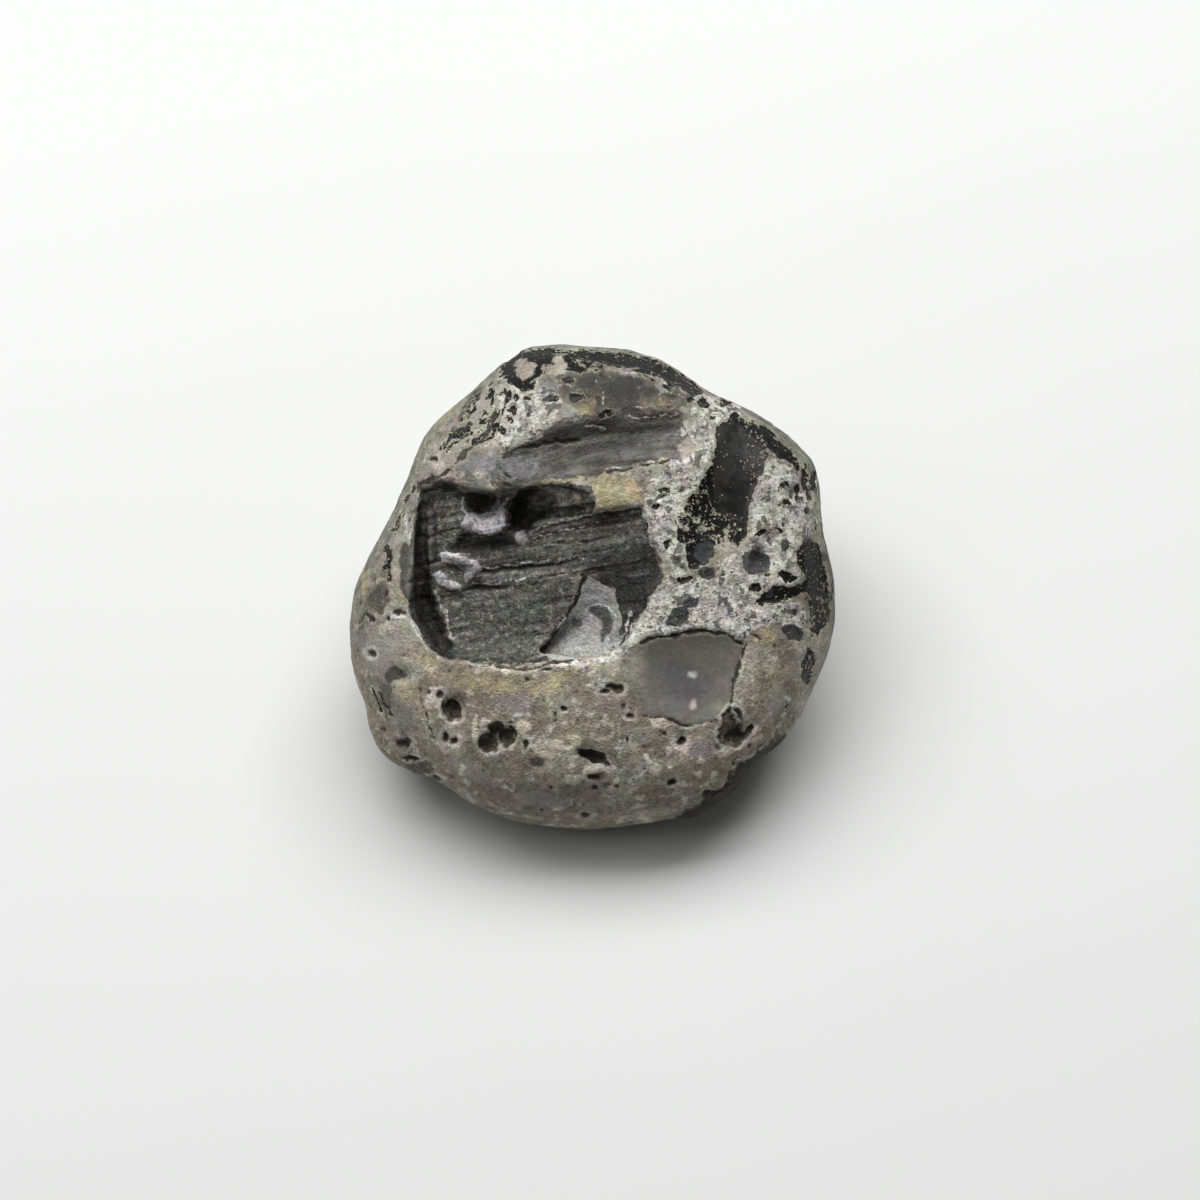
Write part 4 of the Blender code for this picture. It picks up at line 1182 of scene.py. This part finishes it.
# %% Start the finish
def tint(red, green, blue):
    """A colour given as on a screen, from 0 to 255, for a shader socket."""
    shares = [part / 255 for part in (red, green, blue)]
    return tuple(s / 12.92 if s <= 0.04045 else ((s + 0.055) / 1.055) ** 2.4 for s in shares) + (1.0,)


finish = bpy.data.materials.new("weathered_obsidian")
finish.use_nodes = True
stone = finish.node_tree
stone.nodes.clear()
surface_place = stretched(stone, add_node(stone, "ShaderNodeTexCoord").outputs["Object"], 1 / MM)


def mark(name):
    """Reads one of the numbers kept on the skin, in the material."""
    node = add_node(stone, "ShaderNodeAttribute", attribute_type="GEOMETRY", attribute_name=name)
    return node.outputs["Fac"]


def use(group, inputs):
    return add_node(stone, "ShaderNodeGroup", inputs, node_tree=group).outputs


def blend(share, below, above, how="MIX"):
    inputs = {"Factor": share, "A": below, "B": above}
    return put(stone, "ShaderNodeMix", inputs, data_type="RGBA", blend_type=how, clamp_factor=True)


def mix_number(share, below, above):
    inputs = {"Factor": share, "A": below, "B": above}
    return put(stone, "ShaderNodeMix", inputs, data_type="FLOAT", clamp_factor=True)


def toned(colour, *tones):
    """A colour made lighter or darker by one or more tones around 1."""
    for tone in tones:
        grey = put(stone, "ShaderNodeCombineColor", {"Red": tone, "Green": tone, "Blue": tone})
        colour = blend(1.0, colour, grey, "MULTIPLY")
    return colour


def patch(name, raggedness, lump_size, softness):
    """The outputs of a patch with a torn edge: its mask, and the distance inside its torn outline."""
    return use(ragged_edge, {"Distance": mark(name), "Place": surface_place, "Raggedness": raggedness,
                             "Lump Size": lump_size, "Softness": softness})


def mottled(cloud_size, contrast, grain):
    return use(mottle, {"Place": surface_place, "Cloud Size": cloud_size, "Contrast": contrast,
                        "Grain": grain})


def streaked(spacing, length, contrast):
    return use(streaks, {"Along": mark("along"), "Across": mark("across"), "Spacing": spacing,
                         "Length": length, "Contrast": contrast})


def speckled(spacing, largest, share):
    inputs = {"Place": surface_place, "Spacing": spacing, "Largest": largest, "Share": share}
    return use(specks, inputs)["Mask"]


def grains(size, level, edge=0.04):
    """Irregular grains of about size millimetres. The higher the level, the fewer they are."""
    return ramp(stone, cloudy(stone, surface_place, size, 2.5, 0.62), level, calc(stone, "ADD", level, edge))


def share_of(mask, amount):
    return calc(stone, "MULTIPLY", mask, amount)


def rest_of(mask):
    return calc(stone, "SUBTRACT", 1.0, mask)


def cover(below, name, torn_edge, amount, paint):
    """Lays a paint over a colour inside a patch. The torn edge is raggedness, lump size, softness."""
    return blend(share_of(patch(name, *torn_edge)["Mask"], amount), below, paint)


print("finish started")

# %% [markdown]
# ## Rind
#
# The rind is warm grey, cloudy at the scale of millimetres, and grained like fine sandpaper. Brown
# clouds and dark specks break it up, and iron stains it ochre along a few lines.

# %% The rind
RIND, BROWN_RIND, PALE_RIND = tint(151, 146, 134), tint(119, 112, 100), tint(170, 167, 157)
OLIVE_RIND, RIM_OLIVE, RIM_DARK = tint(128, 130, 118), tint(108, 112, 99), tint(66, 69, 62)
SPECK, STAIN, BLOT, UMBER = tint(56, 53, 47), tint(158, 146, 108), tint(184, 176, 160), tint(80, 76, 68)
LILAC, FACET_GREY, COOL_GREY = tint(134, 128, 125), tint(150, 147, 141), tint(118, 119, 122)

mottled_rind = mottled(1.1, 0.8, 1.1)
rind_tone = mottled_rind["Tone"]
smooth_tone = mottled(1.8, 0.35, 0.5)["Tone"]
broad_clouds = cloudy(stone, surface_place, 4.0, 3.0, 0.6)
small_clouds = cloudy(stone, stretched(stone, surface_place, 1.3), 1.6, 4.0, 0.65)
object_place = add_node(stone, "ShaderNodeSeparateXYZ", {"Vector": surface_place}).outputs
brown_share = calc(stone, "ADD", broad_clouds, ramp(stone, object_place["Y"], -15.0, -5.0, 0.14, 0.0))
colour = blend(ramp(stone, brown_share, 0.42, 0.64), RIND, BROWN_RIND)
colour = blend(ramp(stone, small_clouds, 0.55, 0.68), colour, PALE_RIND)
colour = blend(share_of(mark("far_side"), 0.6), colour, OLIVE_RIND)
colour = toned(colour, rind_tone)
rim_clouds = grains(0.9, ramp(stone, broad_clouds, 0.35, 0.65, 0.44, 0.58), 0.10)
rim_colour = blend(share_of(rim_clouds, 0.8), RIM_OLIVE, RIM_DARK)
rim_colour = blend(share_of(grains(0.36, 0.58), 0.6), rim_colour, PALE_RIND)
rim_colour = blend(ramp(stone, object_place["X"], 2.0, 12.0, 0.0, 0.55), rim_colour, RIM_DARK)
colour = blend(share_of(mark("rim"), 0.8), colour, toned(rim_colour, rind_tone))
colour = cover(colour, "umber", (0.9, 0.9, 0.15), 0.85, toned(UMBER, rind_tone))
colour = cover(colour, "lilac", (0.5, 0.8, 0.12), 0.7, toned(LILAC, smooth_tone))
facet_and_recess_light_mask = patch("facet_and_recess_light", 0.25, 0.6, 0.05)["Mask"]
colour = blend(share_of(facet_and_recess_light_mask, 0.8), colour, toned(FACET_GREY, smooth_tone))
stain_share = ramp(stone, small_clouds, 0.38, 0.60, 0.15, 0.75)
colour = cover(colour, "stain", (1.6, 0.9, 0.5), stain_share, toned(STAIN, rind_tone))
clustered = ramp(stone, broad_clouds, 0.40, 0.65, 0.25, 0.7)
colour = blend(share_of(speckled(0.50, 0.36, clustered), 0.60), colour, SPECK)
colour = blend(share_of(grains(0.55, 0.66), 0.5), colour, BLOT)
colour = blend(share_of(grains(0.38, 0.67), 0.5), colour, SPECK)
roughness = calc(stone, "SUBTRACT", 0.80, share_of(rind_tone, 0.14))
print("rind layered")

# %% [markdown]
# ## Old breaks
#
# The flute, the basin's floor and the shell-shaped scar are older surfaces of broken glass. They are
# darker and smoother than the rind, and streaked where the flow bands show. Each could be a material
# of its own, but its edge would then follow the net's quads. As a layer it tears as finely as noise.

# %% Flute, basin and scar
FLUTE_GREY, FLUTE_LIGHT, FLOW_LINE = tint(56, 54, 49), tint(92, 90, 86), tint(138, 138, 120)
BASIN_GREY, BASIN_DARK = tint(75, 75, 70), tint(43, 43, 43)
SCAR_GREY, WARM_TAN = tint(149, 149, 145), tint(160, 151, 120)

flute_streak = streaked(0.7, 9.0, 1.4)
basin_streak = streaked(0.30, 9.0, 1.4)
fine_tone = mottled(0.7, 1.1, 2.2)["Tone"]

flute_mask = patch("flute", 0.9, 1.0, 0.10)["Mask"]
flute_bands = streaked(1.7, 12.0, 1.0)["Tone"]
flute_clouds = around_zero(stone, cloudy(stone, surface_place, 1.8, 4.0, 0.6), 0.6)
flute_light = ramp(stone, calc(stone, "ADD", flute_bands, flute_clouds), 0.8, 1.3)
flute_colour = blend(flute_light, FLUTE_GREY, FLUTE_LIGHT)
flute_colour = toned(flute_colour, flute_streak["Tone"], rind_tone)
flute_colour = blend(share_of(flute_streak["Bright Lines"], 0.30), flute_colour, FLOW_LINE)
colour = blend(flute_mask, colour, flute_colour)
roughness = mix_number(flute_mask, roughness, 0.48)

basin_mask = patch("basin", 0.30, 0.5, 0.05)["Mask"]
basin_colour = blend(ramp(stone, mark("basin"), 0.0, 0.5), BASIN_DARK, BASIN_GREY)
streak_share = rest_of(share_of(mark("plain_floor"), 0.75))
basin_colour = toned(basin_colour, mix_number(streak_share, 1.0, basin_streak["Tone"]), fine_tone)
bright_lines = share_of(share_of(basin_streak["Bright Lines"], 0.5), streak_share)
basin_colour = blend(bright_lines, basin_colour, FLOW_LINE)
basin_colour = blend(share_of(speckled(0.42, 0.34, 0.4), 0.5), basin_colour, BASIN_DARK)
basin_colour = blend(share_of(grains(0.42, 0.60), 0.6), basin_colour, FLOW_LINE)
basin_colour = blend(share_of(grains(0.60, 0.58, 0.08), 0.6), basin_colour, BASIN_DARK)
colour = blend(basin_mask, colour, basin_colour)
roughness = mix_number(basin_mask, roughness, 0.5)

colour = cover(colour, "dim", (0.5, 0.8, 0.15), 0.85, toned(BASIN_DARK, fine_tone))
scar_clouds = ramp(stone, cloudy(stone, surface_place, 1.1, 3.0), 0.54, 0.64)
scar_colour = blend(share_of(scar_clouds, 0.45), toned(SCAR_GREY, rind_tone), BASIN_DARK)
colour = blend(patch("scar", 0.16, 0.7, 0.05)["Mask"], colour, scar_colour)
colour = cover(colour, "tan", (0.42, 0.6, 0.08), 0.85, toned(WARM_TAN, rind_tone))
# painted light in the basin's recess, through the facet layer
recess_painted_light = share_of(facet_and_recess_light_mask, basin_mask)
colour = blend(share_of(recess_painted_light, 0.45), colour, toned(FACET_GREY, fine_tone))
colour = cover(colour, "cool", (0.6, 0.8, 0.18), 0.5, toned(COOL_GREY, rind_tone))
print("old breaks layered")

# %% [markdown]
# ## The frosted window
#
# Gravel has ground this scar to a silky frost. It could be clear rough glass, but at this size the
# frost hides what is below. So it is a grey with painted light and shade, lighter to the lower right,
# with a smoky heart, a warm glow in one corner, a few flecks and two small painted glints, highlights
# of the lamps.

# %% The frosted window
SHADED_FROST, LIT_FROST, SMOKE = tint(92, 89, 82), tint(122, 119, 111), tint(88, 86, 90)
CORNER_GLOW, FLECK, PAINTED_GLINT = tint(158, 148, 130), tint(176, 174, 168), tint(206, 204, 194)

# painted light and shade: the window's grey runs from its shaded colour to its lit colour
frost_painted_light = calc(stone, "ADD", mark("window_painted_light"), cloudy(stone, surface_place, 1.9, 3.0))
frost_colour = blend(ramp(stone, frost_painted_light, 0.0, 1.2), SHADED_FROST, LIT_FROST)
frost_colour = blend(share_of(mark("smoke"), 0.8), frost_colour, SMOKE)
frost_colour = blend(share_of(mark("corner_glow"), 0.75), frost_colour, CORNER_GLOW)
frost_tone = mottled(1.4, 0.25, 0.6)["Tone"]
frost_colour = toned(frost_colour, frost_tone)
frost_colour = blend(share_of(speckled(0.8, 0.16, 0.3), 0.4), frost_colour, FLECK)
# paints the two glints, highlights of the lamps
frost_colour = blend(ramp(stone, mark("painted_glint"), -0.22, 0.26), frost_colour, PAINTED_GLINT)
frost_mask = share_of(patch("frost", 0.22, 0.8, 0.12)["Mask"], mark("frost_fade"))
colour = blend(frost_mask, colour, frost_colour)
roughness = mix_number(frost_mask, roughness, 0.40)
print("window layered")

# %% [markdown]
# ## Crust and bare glass
#
# The crust is nearly white, with black grains where it has crumbled. The glass comes after it, so
# the crust's torn edge lies round it like the broken edge of a shell, with a thin cream line.

# %% Crust and glass
CHALK, CHALK_GREY, WHITE_GRAIN = tint(190, 187, 178), tint(138, 137, 130), tint(212, 210, 200)
GRAIN_HOLE, CREAM, SMOKY_GLASS = tint(50, 51, 48), tint(178, 174, 150), tint(50, 52, 53)
GLASS, WORN_GLASS, DULL_GLASS = tint(13, 13, 12), tint(33, 33, 31), tint(58, 57, 54)

chalk_mask = patch("chalk", 0.60, 0.7, 0.08)["Mask"]
chalk_tone = mottled(0.6, 0.8, 1.7)["Tone"]
crumble = cloudy(stone, surface_place, 1.3, 3.0, 0.6)
crumbs = grains(0.75, ramp(stone, crumble, 0.38, 0.62, 0.63, 0.52))
crumbs = calc(stone, "MAXIMUM", crumbs, share_of(grains(0.34, 0.61), 0.7))
chalk_clouds = cloudy(stone, surface_place, 0.8, 4.0, 0.7)
chalk_colour = blend(ramp(stone, chalk_clouds, 0.42, 0.60), CHALK, CHALK_GREY)
chalk_colour = toned(chalk_colour, chalk_tone)
chalk_colour = blend(share_of(grains(0.46, 0.56), 0.7), chalk_colour, WHITE_GRAIN)
chalk_colour = blend(share_of(crumbs, 0.75), chalk_colour, GRAIN_HOLE)
colour = blend(share_of(chalk_mask, 0.92), colour, chalk_colour)
roughness = mix_number(chalk_mask, roughness, 0.86)

dull_mask = patch("dull", 0.55, 0.8, 0.14)["Mask"]
colour = blend(share_of(dull_mask, 0.9), colour, toned(DULL_GLASS, frost_tone))
roughness = mix_number(dull_mask, roughness, 0.42)

glass_patch = patch("glass", 0.42, 0.55, 0.03)
off_line = calc(stone, "ABSOLUTE", calc(stone, "ADD", glass_patch["Torn Distance"], 0.06))
cream_line = share_of(ramp(stone, off_line, 0.01, 0.09, 1.0, 0.0), ramp(stone, crumble, 0.46, 0.62, 0.0, 0.8))
colour = blend(cream_line, colour, toned(CREAM, chalk_tone))
crumb_left = grains(0.24, ramp(stone, glass_patch["Torn Distance"], 0.0, 0.5, 0.585, 0.66), 0.05)
crumb_left = calc(stone, "MAXIMUM", crumb_left, share_of(speckled(0.42, 0.24, 0.6), 0.7))
glass_mask = share_of(glass_patch["Mask"], rest_of(crumb_left))
worn_share = ramp(stone, mark("worn"), -0.5, 0.5, -0.14, 0.12)
worn = calc(stone, "ADD", cloudy(stone, surface_place, 1.0, 3.0), worn_share)
colour = blend(share_of(crumb_left, glass_patch["Mask"]), colour, CREAM)
colour = blend(glass_mask, colour, blend(ramp(stone, worn, 0.42, 0.60), GLASS, WORN_GLASS))
glass_roughness = mix_number(share_of(mark("rim"), 0.9), ramp(stone, worn, 0.40, 0.65, 0.44, 0.56), 0.75)
roughness = mix_number(glass_mask, roughness, glass_roughness)
smoky_mask = patch("smoky", 0.34, 0.6, 0.05)["Mask"]
smoky_mask = share_of(smoky_mask, rest_of(share_of(grains(0.34, 0.62), 0.7)))
colour = blend(share_of(smoky_mask, 0.95), colour, toned(SMOKY_GLASS, fine_tone))
roughness = mix_number(smoky_mask, roughness, 0.55)
print("crust and glass layered")

# %% [markdown]
# ## Lips, and dirt and painted shade in the hollows
#
# Thin lips of the old surface stand up in the basin and have bleached, and next to the deep shade
# they are painted darker. Cracks, pits and hollows are painted dark, as dirt and shade, and crests a
# little paler, as a painted highlight. Ambient occlusion would darken hollows too, but it looks
# different in each renderer, so the depth measured on the skin does it.

# %% Lips, cracks and pits
DIRT_AND_SHADE, PAINTED_DEEP_SHADE, RING_PALE = tint(52, 47, 41), tint(34, 34, 34), tint(176, 172, 164)
LIP_GREY, LIP_PALE = tint(148, 146, 150), tint(184, 182, 180)

colour = cover(colour, "pale", (0.50, 0.5, 0.12), 0.72, toned(BLOT, rind_tone))
# painted shade: the lips are painted darker next to the deep shade
lip_shade = ramp(stone, mark("deep_shade"), -0.45, 0.0, 1.0, 0.55)
colour = cover(colour, "lip", (0.22, 0.4, 0.06), 0.8, toned(LIP_GREY, fine_tone, lip_shade))
colour = cover(colour, "pale_line", (0.16, 0.4, 0.05), 0.8, toned(LIP_PALE, fine_tone))
colour = cover(colour, "ring", (0.30, 0.3, 0.12), 0.5, toned(RING_PALE, rind_tone))
# painted shade in the deep places
colour = cover(colour, "deep_shade", (0.26, 0.5, 0.12), 0.78, toned(PAINTED_DEEP_SHADE, fine_tone))
crack_mask = patch("crack", 0.20, 0.5, 0.05)["Mask"]
pit_patch = patch("pit", 0.14, 0.3, 0.10)
pit_edge = calc(stone, "ABSOLUTE", calc(stone, "ADD", pit_patch["Torn Distance"], 0.20))
pit_clouds = ramp(stone, small_clouds, 0.38, 0.6, 0.1, 0.6)
pit_rim = share_of(ramp(stone, pit_edge, 0.02, 0.26, 1.0, 0.0), pit_clouds)
colour = blend(pit_rim, colour, toned(RING_PALE, rind_tone))
hollow_depth = mark("hollow")
# cracks, pits and hollows get dirt and painted shade
dark_places = total(
    stone, share_of(crack_mask, 0.85), share_of(pit_patch["Mask"], 0.74),
    share_of(mark("scattered_pit"), 0.35), ramp(stone, hollow_depth, 0.01, 0.08, 0.0, 0.8),
)
colour = blend(calc(stone, "MINIMUM", dark_places, 0.95), colour, toned(DIRT_AND_SHADE, fine_tone))
# painted highlight: crests are painted a little paler
crest_highlight = share_of(ramp(stone, hollow_depth, -0.06, -0.012, 0.22, 0.0), rest_of(glass_mask))
colour = blend(crest_highlight, colour, RING_PALE)
# broad tones, with painted light and shade among them
colour = toned(colour, mark("tone"))
COLOUR_DRIFTS = [(1.6, 0.13), (0.32, 0.17)]  # size in mm, share
for drift_size, drift_share in COLOUR_DRIFTS:
    drift_inputs = {"Vector": surface_place, "Scale": 1 / drift_size, "Detail": 2.0}
    drift = add_node(stone, "ShaderNodeTexNoise", drift_inputs).outputs["Color"]
    colour = blend(drift_share, colour, drift, "OVERLAY")
print("lips and hollows layered")

# %% [markdown]
# ## Grain and the shader
#
# The finest grain is smaller than the net, and cutting it would take a net many times as fine. So it
# is bump, and the glass gets none of it.

# %% Grain and the shader
GRAIN_BUMP = 0.11  # mm
crumb_holes = share_of(crumbs, share_of(chalk_mask, -0.8))
grain_height = calc(stone, "ADD", mottled_rind["Grain Height"], crumb_holes)
off_glass = rest_of(calc(stone, "MAXIMUM", glass_mask, share_of(frost_mask, 0.85)))
grain_height = share_of(grain_height, off_glass)
bump = put(stone, "ShaderNodeBump", {"Strength": 1.0, "Distance": GRAIN_BUMP * MM, "Height": grain_height})
glassy = add_node(stone, "ShaderNodeBsdfPrincipled", {
    "Base Color": colour, "Roughness": roughness, "Normal": bump, "Specular IOR Level": 0.22, "IOR": 1.49,
})
add_node(stone, "ShaderNodeOutputMaterial", {"Surface": glassy.outputs["BSDF"]})
print("finish has", len(stone.nodes), "nodes")

# %% [markdown]
# ## Grow the relief
#
# The tree's inputs are set by their identifiers, the evaluated result is taken as a plain mesh, and
# the modifier goes. The stone is then only a mesh with a material, which any program can read.

# %% Apply the relief
RELIEF_SEED = 7


def dial_key(name):
    inputs = (item for item in relief.interface.items_tree if item.in_out == "INPUT")
    return next(item.identifier for item in inputs if item.name == name)


grow = skin.modifiers.new("weathered_relief", "NODES")
grow.node_group = relief
grow[dial_key("Seed")] = RELIEF_SEED
grow[dial_key("Finish")] = finish
skin.data = plain_mesh(skin)
skin.modifiers.clear()
skin.data.name = "stone_skin"
skin_corners = corners_of(skin.data)[0]
print("the finished stone is", (skin_corners.max(0) - skin_corners.min(0)).round(2), "mm")
print("its lowest point is at", round(float(skin_corners[:, 2].min()), 3), "mm")

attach(skin, "root")
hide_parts("stone")

# %% [markdown]
# ## Floor and light
#
# The stone lies on a plain pale sheet in soft light. One wide panel hangs behind it and high up, so
# the underside of the front rim falls into shadow at once, as it does under a light tent. A weaker
# strip, nearly overhead, and a faint sky fill that shadow.

# %% Floor, lamps and sky
FLOOR_SIZE = 1.6  # metres
SKY_STRENGTH = 0.085

floor_mesh = bpy.data.meshes.new("paper_floor")
sheet = bmesh.new()
bmesh.ops.create_grid(sheet, x_segments=2, y_segments=2, size=FLOOR_SIZE / 2)
sheet.to_mesh(floor_mesh)
sheet.free()
floor = in_scene("paper_floor", floor_mesh)
floor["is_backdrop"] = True

paper = bpy.data.materials.new("plain_paper")
paper.use_nodes = True
paper_tree = paper.node_tree
paper_tree.nodes.clear()
paper_place = stretched(paper_tree, add_node(paper_tree, "ShaderNodeTexCoord").outputs["Object"], 1 / MM)
paper_clouds = cloudy(paper_tree, paper_place, 60.0, 2.0)
paper_tints = {"Factor": paper_clouds, "A": tint(206, 207, 206), "B": tint(209, 210, 209)}
paper_colour = put(paper_tree, "ShaderNodeMix", paper_tints, data_type="RGBA")
matt = add_node(paper_tree, "ShaderNodeBsdfPrincipled", {
    "Base Color": paper_colour, "Roughness": 0.9, "Specular IOR Level": 0.1,
})
add_node(paper_tree, "ShaderNodeOutputMaterial", {"Surface": matt.outputs["BSDF"]})
floor_mesh.materials.append(paper)


def lamp(name, place, width, height, power):
    """A flat lamp, with its place and sizes in millimetres, aimed at the stone."""
    light = bpy.data.lights.new(name, "AREA")
    light.shape = "RECTANGLE"
    light.size, light.size_y, light.energy = width * MM, height * MM, power
    obj = bpy.data.objects.new(name, light)
    obj.location = Vector(place) * MM
    obj.rotation_euler = (AIM - Vector(place)).to_track_quat("-Z", "Y").to_euler()
    bpy.context.scene.collection.objects.link(obj)


lamp("wide_panel", (-45, 235, 405), 700, 230, 3.60)
lamp("overhead_strip", (-60, 100, 465), 1000, 150, 1.02)
sky = bpy.data.worlds.new("studio_sky")
sky.use_nodes = True
sky.node_tree.nodes["Background"].inputs["Color"].default_value = (1.0, 1.0, 1.0, 1.0)
sky.node_tree.nodes["Background"].inputs["Strength"].default_value = SKY_STRENGTH
bpy.context.scene.world = sky
bpy.context.scene.view_settings.view_transform = "Standard"
print("floor, lamps and sky set")

# %% [markdown]
# ## Check the size
#
# The finished stone has to fill the same box as the solid it stands for. The two boxes are compared,
# and the largest difference is printed.

# %% Compare the two boxes
final_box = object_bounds()
gaps = [abs(a - b) / MM for was, now in zip(cad_box, final_box) for a, b in zip(was, now)]
print("largest difference", round(max(gaps), 3), "mm")
